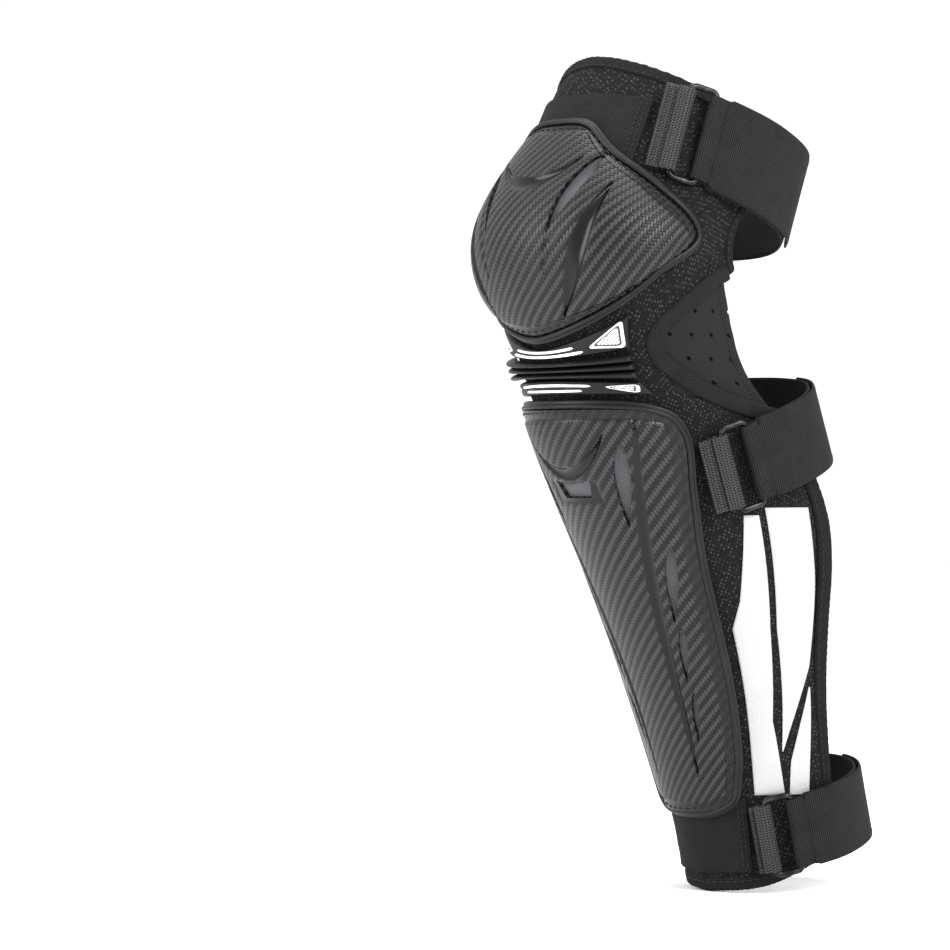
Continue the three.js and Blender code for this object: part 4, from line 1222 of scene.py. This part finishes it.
def front_band(name, first, last, middle, width, body, node):
    """Band at constant width about a middle line, with a slightly thicker woven edge and two
    rows of stitches at each end."""
    u, v = net(max(int(abs(last - first) * 1.3), 40), 20)
    degrees = lerp(first, last, u)
    height = middle(degrees) + lerp(-width / 2, width / 2, v)
    edge = 0.25 * (ease(0.93, 0.97, v) + ease(0.07, 0.03, v))
    lift = BAND_HIGH + edge - 0.25 + 0.14 * uneven(degrees, height, 5)
    band = panel(name, degrees, height, BAND_LOW, lift)
    dress(band, woven_elastic, body, "elastic", node)
    climb = np.linspace(-width / 2 + 2, width / 2 - 2, 40)
    for k, at in enumerate((first + 2, first + 4.5, last - 2, last - 4.5)):
        line = np.full(40, float(at))
        sewn_line(f"{name}_stitches_{k + 1}", line, middle(line) + climb, BAND_HIGH + 0.15, body,
                  pitch=3.2, length=2.3)
    return band


front_band("upper_front_band", -98, 41, lambda a: 95 - 17 * (a / 90) ** 2, 46, "thigh", "upper_front_elastic")
front_band("middle_side_band", -82, -58, lambda a: -98 - 0.38 * a, 43, "shin", "middle_side_elastic")
front_band("lower_front_band", -72, 34, lambda a: -279 + 8 * (a / 80) ** 2, 40, "shin", "lower_front_elastic")

# ---- Closures ----------------------------------------------------------------------------------------------
# Each closure is a webbing tab sewn to the sleeve, a wire ring held in the tab's loop, and an
# elastic strap that comes round the back of the leg, turns through the ring and sticks back on
# itself with a hook tab.  The ring swings in its loop, and the hook tab peels away.
CLOSURES = (
    {
        "name": "upper", "body": "thigh", "width": 50, "ring_length": 55, "height": 93, "tilt": -20,
        "tab": (45.5, 53), "ring_at": 62,
        "route": ((70, 16), (71.5, 42), (61, 73), (34, 94), (0, 100), (-34, 94), (-60, 74), (-70.5, 48),
                  (-71, 28), (-70.5, 12)),
    },
    {
        "name": "middle", "body": "shin", "width": 43, "ring_length": 49, "height": -87, "tilt": 20,
        "tab": (50, 56), "ring_at": 63,
        "route": ((72.2, 46), (73.6, 66), (67.4, 86), (50, 103), (27, 110), (0, 112), (-27, 110), (-50, 103),
                  (-68, 86), (-74, 66), (-74, 48)),
    },
    {
        "name": "lower", "body": "shin", "width": 40, "ring_length": 46, "height": -297, "tilt": 14,
        "tab": (37, 41), "ring_at": 52,
        "route": ((54.5, 97), (57, 114), (48, 139), (27, 156), (0, 161), (-27, 156), (-48, 139), (-57, 114),
                  (-57, 100)),
    },
)
WIRE_RADIUS = 1.6
RING_HALF_WIDTH = 7.5
LOOP_REACH = 5.5
LOOP_RADIUS = 2.8
STRAP_THICKNESS = 1.6
RING_LIFT = 6.2
HOOK_TAB_LENGTH = 92


def gunmetal():
    """Zinc wire with a dark satin plating, a little brighter where it is rubbed."""
    material, tree, shader = finish("gunmetal", (0.045, 0.045, 0.048), 0.32, Metallic=0.85)
    place = wire(tree, "ShaderNodeTexCoord", out=3)
    rubbed = wire(tree, "ShaderNodeTexNoise", {"Vector": place, "Scale": 140.0, "Detail": 5.0})
    colour = tint(tree, soft_step(tree, rubbed, 0.4, 0.75), (0.012, 0.012, 0.013), (0.05, 0.05, 0.054))
    tree.links.new(colour, shader.inputs["Base Color"])
    tree.links.new(calc(tree, "ADD", 0.2, calc(tree, "MULTIPLY", rubbed, 0.25)), shader.inputs["Roughness"])
    return material


def coarse_webbing():
    """Herringbone webbing: thick yarns that lean one way and then the other, column by column, with a painted
    highlight on the yarn crests and painted shade in the grooves.
    """
    material, tree, shader = finish("coarse_webbing", (0.02, 0.02, 0.021), 0.55, Specular_IOR_Level=0.3)
    place = cloth_place(tree, 1.0)
    split = tree.nodes.new("ShaderNodeSeparateXYZ")
    tree.links.new(place, split.inputs[0])
    column = calc(tree, "PINGPONG", split.outputs[0], 1.7)
    lean = calc(tree, "ADD", split.outputs[1], calc(tree, "MULTIPLY", column, 0.7))
    yarn = calc(tree, "SINE", calc(tree, "MULTIPLY", lean, 2 * math.pi / 1.5))
    valley = calc(tree, "ABSOLUTE", calc(tree, "SUBTRACT", calc(tree, "DIVIDE", column, 0.85), 1.0))
    groove = calc(tree, "MULTIPLY", calc(tree, "POWER", valley, 5.0), 0.9)
    body = calc(tree, "SUBTRACT", calc(tree, "MULTIPLY", yarn, 0.5), groove)
    grain = wire(tree, "ShaderNodeTexNoise", {"Vector": place, "Scale": 2.5, "Detail": 2.0})
    # Painted light: the colour follows the relief, a painted highlight on the yarn crests and near-black
    # painted shade in the grooves between columns; the grain noise adds random tone.
    lit = calc(tree, "MULTIPLY", soft_step(tree, body, -0.4, 0.5), calc(tree, "ADD", grain, 0.3))
    tree.links.new(tint(tree, lit, (0.002, 0.002, 0.002), (0.075, 0.075, 0.077)), shader.inputs["Base Color"])
    relief(tree, shader, body, 0.5)
    return material


ring_metal = gunmetal()
tab_webbing = coarse_webbing()
strap_elastic = ribbed_cloth("strap_elastic", (0.010, 0.010, 0.0105), 1.15, 0, 0.35, cross=0.35)


def spline(stations):
    """Smooth curve through flat stations: on each span a cubic whose end slopes come from the
    neighbours, weighted by the square roots of the spans' lengths.  The two ends continue
    straight on.  Gives close points, their running lengths, and the stations' own lengths."""
    p = np.array(stations, float)
    p = np.concatenate([2 * p[:1] - p[1:2], p, 2 * p[-1:] - p[-2:-1]])
    root = np.sqrt(np.linalg.norm(np.diff(p, axis=0), axis=1))
    points = []
    for k in range(1, len(p) - 2):
        before, here, after = root[k - 1], root[k], root[k + 1]
        step = (p[k + 1] - p[k]) / here
        leave = (p[k] - p[k - 1]) / before - (p[k + 1] - p[k - 1]) / (before + here) + step
        arrive = step - (p[k + 2] - p[k]) / (here + after) + (p[k + 2] - p[k + 1]) / after
        leave, arrive = leave * here, arrive * here
        t = np.linspace(0, 1, 120, endpoint=False)[:, None]
        points.append(
            p[k] + leave * t + (3 * (p[k + 1] - p[k]) - 2 * leave - arrive) * t ** 2
            + (leave + arrive - 2 * (p[k + 1] - p[k])) * t ** 3
        )
    points.append(p[-2:-1])
    points = np.concatenate(points)
    run = np.pad(np.linalg.norm(np.diff(points, axis=0), axis=1).cumsum(), (1, 0))
    return points, run


def strap_plane(closure):
    """The tilted plane that a strap lies in.  Gives place(distance, lift, across), the strap's
    whole length, the distance at which its ring sits, and the direction across the strap."""
    tilt = math.radians(closure["tilt"])
    back = np.array([0, math.cos(tilt), math.sin(tilt)])
    up = np.array([0, -math.sin(tilt), math.cos(tilt)])

    def on_plane(degrees):
        """Where the plane meets the leg at an angle, found by stepping the height."""
        z = closure["height"]
        for _ in range(6):
            z = closure["height"] + on_leg(degrees, z, RING_LIFT)[1] * math.tan(tilt)
        point = on_leg(degrees, z, RING_LIFT)
        return point[0], point[1] / math.cos(tilt)

    ring_point = np.array(on_plane(closure["ring_at"]))
    stations = [on_plane(degrees) for degrees in closure["tab"]] + [ring_point] + list(closure["route"])
    points, run = spline(stations)
    tangents = unit(np.gradient(points, axis=0))

    def place(distance, lift, across):
        """Point at a distance along the strap, a lift out from it, and a distance across it."""
        given = (np.asarray(x, float) for x in (distance, lift, across))
        distance, lift, across = np.broadcast_arrays(*given)
        flat = [np.interp(distance, run, points[:, k]) for k in range(2)]
        ahead = [np.interp(distance, run, tangents[:, k]) for k in range(2)]
        x = flat[0] + ahead[1] * lift
        y = flat[1] - ahead[0] * lift
        base = np.stack([x, np.zeros_like(x), np.full_like(x, closure["height"])], axis=-1)
        return base + y[..., None] * back + across[..., None] * up

    steps = np.arange(0, run[-1], 0.25)
    reached = np.stack([np.interp(steps, run, points[:, k]) for k in range(2)], axis=1)
    ring_at = steps[np.argmax(np.linalg.norm(reached - ring_point, axis=1) <= 0.4)]
    return place, run[-1], ring_at, up


def strap_strip(name, place, side_line, thickness, width, columns=24, ends=1.5):
    """Strip whose middle follows side_line, (distance, lift) points seen from its edge.  Its
    faces stand half a thickness to each side, and it is woven thicker along both edges."""
    line = np.array(side_line, float)
    ahead = unit(np.gradient(line, axis=0))
    normal = np.stack([-ahead[:, 1], ahead[:, 0]], axis=1)
    across = np.linspace(-0.5, 0.5, columns + 1)
    selvedge = 1 + 0.14 * ease(0.43, 0.46, np.abs(across)) - 0.45 * ease(0.475, 0.5, np.abs(across))
    run = np.pad(np.linalg.norm(np.diff(line, axis=0), axis=1).cumsum(), (1, 0))
    near_end = np.minimum(run, run[-1] - run)
    narrow = np.ones(len(run))
    if ends:
        narrow = 1 - (ends / width) * 2 * (1 - np.sqrt(np.clip(near_end / ends, 0, 1)))
    half = thickness / 2 * selvedge[None, :] * (1 + 0.06 * uneven(run[:, None], across[None, :] * width, 6))
    faces = []
    for sign in (1, -1):
        distance = line[:, :1] + sign * normal[:, :1] * half
        lift = line[:, 1:] + sign * normal[:, 1:] * half
        faces.append(place(distance, lift, across[None, :] * width * narrow[:, None]))
    flat = np.stack(np.broadcast_arrays(run[:, None], across[None, :] * width), axis=-1)
    return slab(name, faces[0], faces[1], flat=flat, roll=0.3)


def turn_round_bar(middle, direction, radius, leg, first_lift, last_lift):
    """Edge view of a strip folded round a bar: in along one side, half a circle, and out
    along the other side."""
    angle = np.linspace(np.pi / 2, 1.5 * np.pi, 22)
    arc = np.stack([middle + direction * radius * np.cos(angle), radius * np.sin(angle)], axis=1)
    t = np.linspace(0, 1, 8, endpoint=False)[:, None]
    start = np.array([middle + direction * leg, first_lift])
    stop = np.array([middle + direction * leg, last_lift])
    way_in = start + (arc[0] - start) * t
    way_in[:, 1] = first_lift + (arc[0, 1] - first_lift) * (3 * t[:, 0] ** 2 - 2 * t[:, 0] ** 3)
    way_out = stop + (arc[-1] - stop) * t
    way_out[:, 1] = last_lift + (arc[-1, 1] - last_lift) * (3 * t[:, 0] ** 2 - 2 * t[:, 0] ** 3)
    return np.concatenate([way_in, arc, way_out[::-1]])


for closure in CLOSURES:
    name, body, width = closure["name"], closure["body"], closure["width"]
    place, length, ring_at, up = strap_plane(closure)
    centre = place(ring_at, 0, 0)
    along = unit(place(ring_at + RING_HALF_WIDTH, 0, 0) - place(ring_at - RING_HALF_WIDTH, 0, 0))
    out = np.cross(along, up)

    def beside_ring(distance, lift, across):
        """Point measured straight from the ring's centre, for the parts that turn with it."""
        given = (np.asarray(x, float) for x in (distance, lift, across))
        distance, lift, across = np.broadcast_arrays(*given)
        return centre + distance[..., None] * along + lift[..., None] * out + across[..., None] * up

    # The ring: one wire bent to a rectangle with round corners.
    corner_turn = np.linspace(0, np.pi / 2, 12)
    bend = 3.4
    middle_line = []
    for k, (sx, sy) in enumerate(((1, 1), (-1, 1), (-1, -1), (1, -1))):
        angle = corner_turn + k * np.pi / 2
        x = sx * (RING_HALF_WIDTH - bend) + bend * np.cos(angle)
        y = sy * (closure["ring_length"] / 2 - WIRE_RADIUS - bend) + bend * np.sin(angle)
        middle_line.append(np.stack([x, y], axis=1))
    middle_line = np.concatenate(middle_line)
    middle_line = softened(middle_line, 1)
    centres = beside_ring(middle_line[:, 0], 0.0, middle_line[:, 1])
    ring = sweep(f"{name}_wire_ring", centres, np.broadcast_to(out, centres.shape),
                 oval(WIRE_RADIUS, WIRE_RADIUS * 0.95, 16), closed=True)
    dress(ring, ring_metal, f"{name}_ring", "ring", f"{name}_ring")

    # The webbing tab, doubled over the ring's near bar, with two rows of stitches.
    loop_width = closure["ring_length"] - 4 * WIRE_RADIUS - 2
    fold = turn_round_bar(-RING_HALF_WIDTH, -1, LOOP_RADIUS, LOOP_REACH + 0.6, 0.75, -0.75)
    loop = strap_strip(f"{name}_webbing_fold", beside_ring, fold, 1.2, loop_width, ends=0)
    dress(loop, tab_webbing, body, "webbing", f"{name}_webbing_loop")
    tab_end = ring_at - RING_HALF_WIDTH - LOOP_REACH
    line = np.stack([np.linspace(0, tab_end, 40), np.zeros(40)], axis=1)
    tab = strap_strip(f"{name}_webbing_strip", place, line, 1.8, width - 3, columns=40, ends=0)
    dress(tab, tab_webbing, body, "webbing", f"{name}_webbing_tab")
    climb = np.linspace(-width / 2 + 3.5, width / 2 - 3.5, 40)
    for k, at in enumerate((2.0, tab_end - 2.0)):
        points = place(at, 1.05, climb)
        stitch_row(f"{name}_tab_stitches_{k + 1}", points, np.broadcast_to(out, points.shape), body,
                   pitch=3.4, length=2.5, radius=0.38)

    # The strap: a fold on the ring's far bar, the long part round the leg, and the hook tab.
    fold = turn_round_bar(RING_HALF_WIDTH, 1, LOOP_RADIUS, LOOP_REACH + 0.7, 1.5, -1.7)
    turned = strap_strip(f"{name}_strap_turn", beside_ring, fold, 1.25, loop_width, ends=0)
    dress(turned, strap_elastic, f"{name}_ring", "elastic", f"{name}_strap_fold")
    start = ring_at + RING_HALF_WIDTH + LOOP_REACH + TAPE_GAP
    stations = np.linspace(start, length, 150)
    line = np.stack([stations, np.full(150, -1.5)], axis=1)
    strap = strap_strip(f"{name}_strap", place, line, STRAP_THICKNESS, width, ends=2)
    dress(strap, strap_elastic, body, "elastic", f"{name}_rear_strap")
    stations = np.linspace(start, start + HOOK_TAB_LENGTH, 70)
    line = np.stack([stations, np.full(70, 1.3)], axis=1)
    hook = strap_strip(f"{name}_hook_strip", place, line, STRAP_THICKNESS, width, ends=4)
    dress(hook, strap_elastic, f"{name}_hook_tab", "elastic", f"{name}_hook_tab")

# ---- Printed graphics ------------------------------------------------------------------------------------
# Rubber ink printed on the shin sleeve: plain white shards behind the plate on the buckle side,
# and a honeycomb with two bars on the other side.  The ink is a thin film that dulls and
# wears a little over the knit.


def rubber_ink():
    """White ink film: the knit shows through faintly as relief and as small worn specks."""
    material, tree, shader = finish("white_ink", (0.82, 0.82, 0.82), 0.55)
    place = wire(tree, "ShaderNodeTexCoord", out=3)
    knit = wire(tree, "ShaderNodeTexVoronoi", {"Vector": place, "Scale": 620.0})
    cloud = wire(tree, "ShaderNodeTexNoise", {"Vector": place, "Scale": 45.0, "Detail": 4.0})
    shade = tint(tree, cloud, (0.40, 0.40, 0.405), (0.46, 0.46, 0.46))
    tree.links.new(shade, shader.inputs["Base Color"])
    relief(tree, shader, knit, 0.15)
    return material


white_ink = rubber_ink()
INK_LOW = 0.15
INK_HIGH = 0.75


def shard(name, left, right, top, bottom):
    """Ink film between two side lines, each given as (height, degrees) rows from the bottom."""
    u, v = net(14, 90)
    height = lerp(bottom, top, v)
    left_rows, right_rows = np.array(left).T, np.array(right).T
    degrees = lerp(np.interp(height, *left_rows), np.interp(height, *right_rows), u)
    film = panel(name, degrees, height, INK_LOW, INK_HIGH, roll=0.1)
    return dress(film, white_ink, "shin", "white_rubber")


shard("print_shard_1", ((-256, 39.5), (-165, 41.5), (-150, 47), (-104, 58)),
      ((-256, 55), (-215, 51), (-165, 55.5), (-104, 63)), -104, -256)
shard("print_shard_2", ((-232, 54.5), (-165, 58), (-100, 66)),
      ((-232, 54.9), (-186, 68.2), (-165, 71.5), (-140, 75.5), (-100, 81)), -100, -232)
shard("print_shard_3", ((-256, 57.5), (-238, 58.5), (-197, 67.4)),
      ((-256, 67.5), (-197, 67.8)), -197, -256)


def hexagons(name, columns, rows, size, start_degrees, start_height):
    """Honeycomb: six-sided films in staggered rows, each a ring of corners and a middle, with
    the pattern narrowing towards its upper end."""
    turn = np.arange(12) * np.pi / 6
    reach = size * 0.46 / np.cos((turn + np.pi / 6) % (np.pi / 3) - np.pi / 6)
    cells = [(c, r) for r in range(rows) for c in range(columns) if c < columns - r // 2]
    all_points, all_faces = [], []
    for k, (c, r) in enumerate(cells):
        x = (c + 0.5 * (r % 2)) * size
        y = r * size * 0.87
        rings = np.stack([np.cos(turn)[None, :] * reach * s for s in (0.3, 0.92, 1.0)], axis=0)
        ups = np.stack([np.sin(turn)[None, :] * reach * s for s in (0.3, 0.92, 1.0)], axis=0)
        radius = through(LEG_HALF_WIDTH, start_height + y)
        degrees = start_degrees - (x + rings[:, 0]) / (radius * np.pi / 180)
        height = start_height + y + ups[:, 0]
        lift = np.array([INK_HIGH, INK_HIGH, INK_HIGH - 0.2])[:, None] + 0 * degrees
        outer = on_leg(degrees, height, lift)
        inner = on_leg(degrees, height, np.full(degrees.shape, INK_LOW))
        here = np.arange(2)[:, None] * 12 + np.arange(12)[None, :]
        beside = np.arange(2)[:, None] * 12 + (np.arange(12)[None, :] + 1) % 12
        face = np.stack([here, beside, beside + 12, here + 12], axis=-1).reshape(-1, 4)
        loop = 24 + np.arange(12)
        wall = np.stack([loop, np.roll(loop, -1), np.roll(loop, -1) + 36, loop + 36], axis=1)
        fan = [np.arange(1, 10, 2), np.arange(2, 11, 2), np.arange(3, 12, 2)]
        hub = np.stack([np.zeros(5, int), *fan], axis=1)
        all_points.append(np.concatenate([outer.reshape(-1, 3), inner.reshape(-1, 3)]))
        all_faces.append(np.concatenate([face, face[:, ::-1] + 36, wall, hub[:, ::-1], hub + 36]) + 72 * k)
    made = make_piece(name, np.concatenate(all_points), np.concatenate(all_faces))
    return dress(made, white_ink, "shin", "white_rubber")


hexagons("print_honeycomb", 3, 7, 9.0, -39.5, -252)
for k in range(2):
    shift = 7.5 * k
    foot, head = -190 + 6 * k, -140 + 6 * k
    shard(f"print_bar_{k + 1}", ((foot, -48.5 - shift), (head, -58 - shift)),
          ((foot, -44.5 - shift), (head, -54 - shift)), head, foot)

# ---- The table it stands on -----------------------------------------------------------------------------
# A plain pale sheet under soft studio light, with the guard standing on its lower edge.
FLOOR_HEIGHT = -0.3105
x, y = np.meshgrid(np.linspace(-6, 6, 13), np.linspace(-6, 6, 13))
sheet_mesh = bpy.data.meshes.new("studio_floor")
sheet_mesh.from_pydata(
    np.stack([x, y, np.full_like(x, FLOOR_HEIGHT)], axis=-1).reshape(-1, 3).tolist(), [],
    grid_faces(12, 12).tolist(),
)
floor = bpy.data.objects.new("studio_floor", sheet_mesh)
bpy.context.scene.collection.objects.link(floor)
pale, pale_tree, pale_shader = finish("studio_pale", (0.86, 0.86, 0.86), 0.9)
floor_place = wire(pale_tree, "ShaderNodeTexCoord", out=3)
cloud = wire(pale_tree, "ShaderNodeTexNoise", {"Vector": floor_place, "Scale": 3.0})
floor_shade = tint(pale_tree, cloud, (0.94, 0.94, 0.94), (0.96, 0.96, 0.96))
pale_tree.links.new(floor_shade, pale_shader.inputs["Base Color"])
sheet_mesh.materials.append(pale)

world = bpy.data.worlds.new("studio")
world.use_nodes = True
world.node_tree.nodes["Background"].inputs["Color"].default_value = (1, 1, 1, 1)
world.node_tree.nodes["Background"].inputs["Strength"].default_value = 1.08
bpy.context.scene.world = world
bpy.context.scene.view_settings.view_transform = "Standard"

VIEW_ANGLE = math.radians(46.5)
CAMERA_DISTANCE = 2.1
GUARD_MIDDLE = 0.027
PICTURE_WIDTH = 0.510
SIDE_SHIFT = -0.2095
screen_right = np.array([math.cos(VIEW_ANGLE), math.sin(VIEW_ANGLE), 0])
towards_camera = np.array([math.sin(VIEW_ANGLE), -math.cos(VIEW_ANGLE), 0])
target = GUARD_MIDDLE * screen_right + np.array([0, 0, -0.0826])


def soft_light(name, side, height, near, size, power):
    """Square lamp placed about the guard from the camera's side, aimed at the guard."""
    lamp = bpy.data.lights.new(name, "AREA")
    lamp.shape = "RECTANGLE"
    lamp.size = size
    lamp.size_y = size * 1.6
    lamp.energy = power
    holder = bpy.data.objects.new(name, lamp)
    bpy.context.scene.collection.objects.link(holder)
    spot = screen_right * side + towards_camera * near + np.array([0, 0, height])
    holder.location = spot.tolist()
    aim = Vector((-spot - np.array([0, 0, 0.08])).tolist())
    holder.rotation_euler = aim.to_track_quat("-Z", "Y").to_euler()


soft_light("key_light", 1.1, 0.9, 1.2, 0.5, 34)
soft_light("left_light", -1.3, 0.5, 0.6, 0.7, 18)
soft_light("top_light", 0.0, 1.5, -0.2, 0.9, 22)

eye = bpy.data.cameras.new("camera")
eye.sensor_width = 36
eye.lens = eye.sensor_width * CAMERA_DISTANCE / PICTURE_WIDTH
eye.shift_x = SIDE_SHIFT
camera = bpy.data.objects.new("camera", eye)
bpy.context.scene.collection.objects.link(camera)
camera.location = (target + towards_camera * CAMERA_DISTANCE).tolist()
camera.rotation_euler = (math.pi / 2, 0, VIEW_ANGLE)
bpy.context.scene.camera = camera
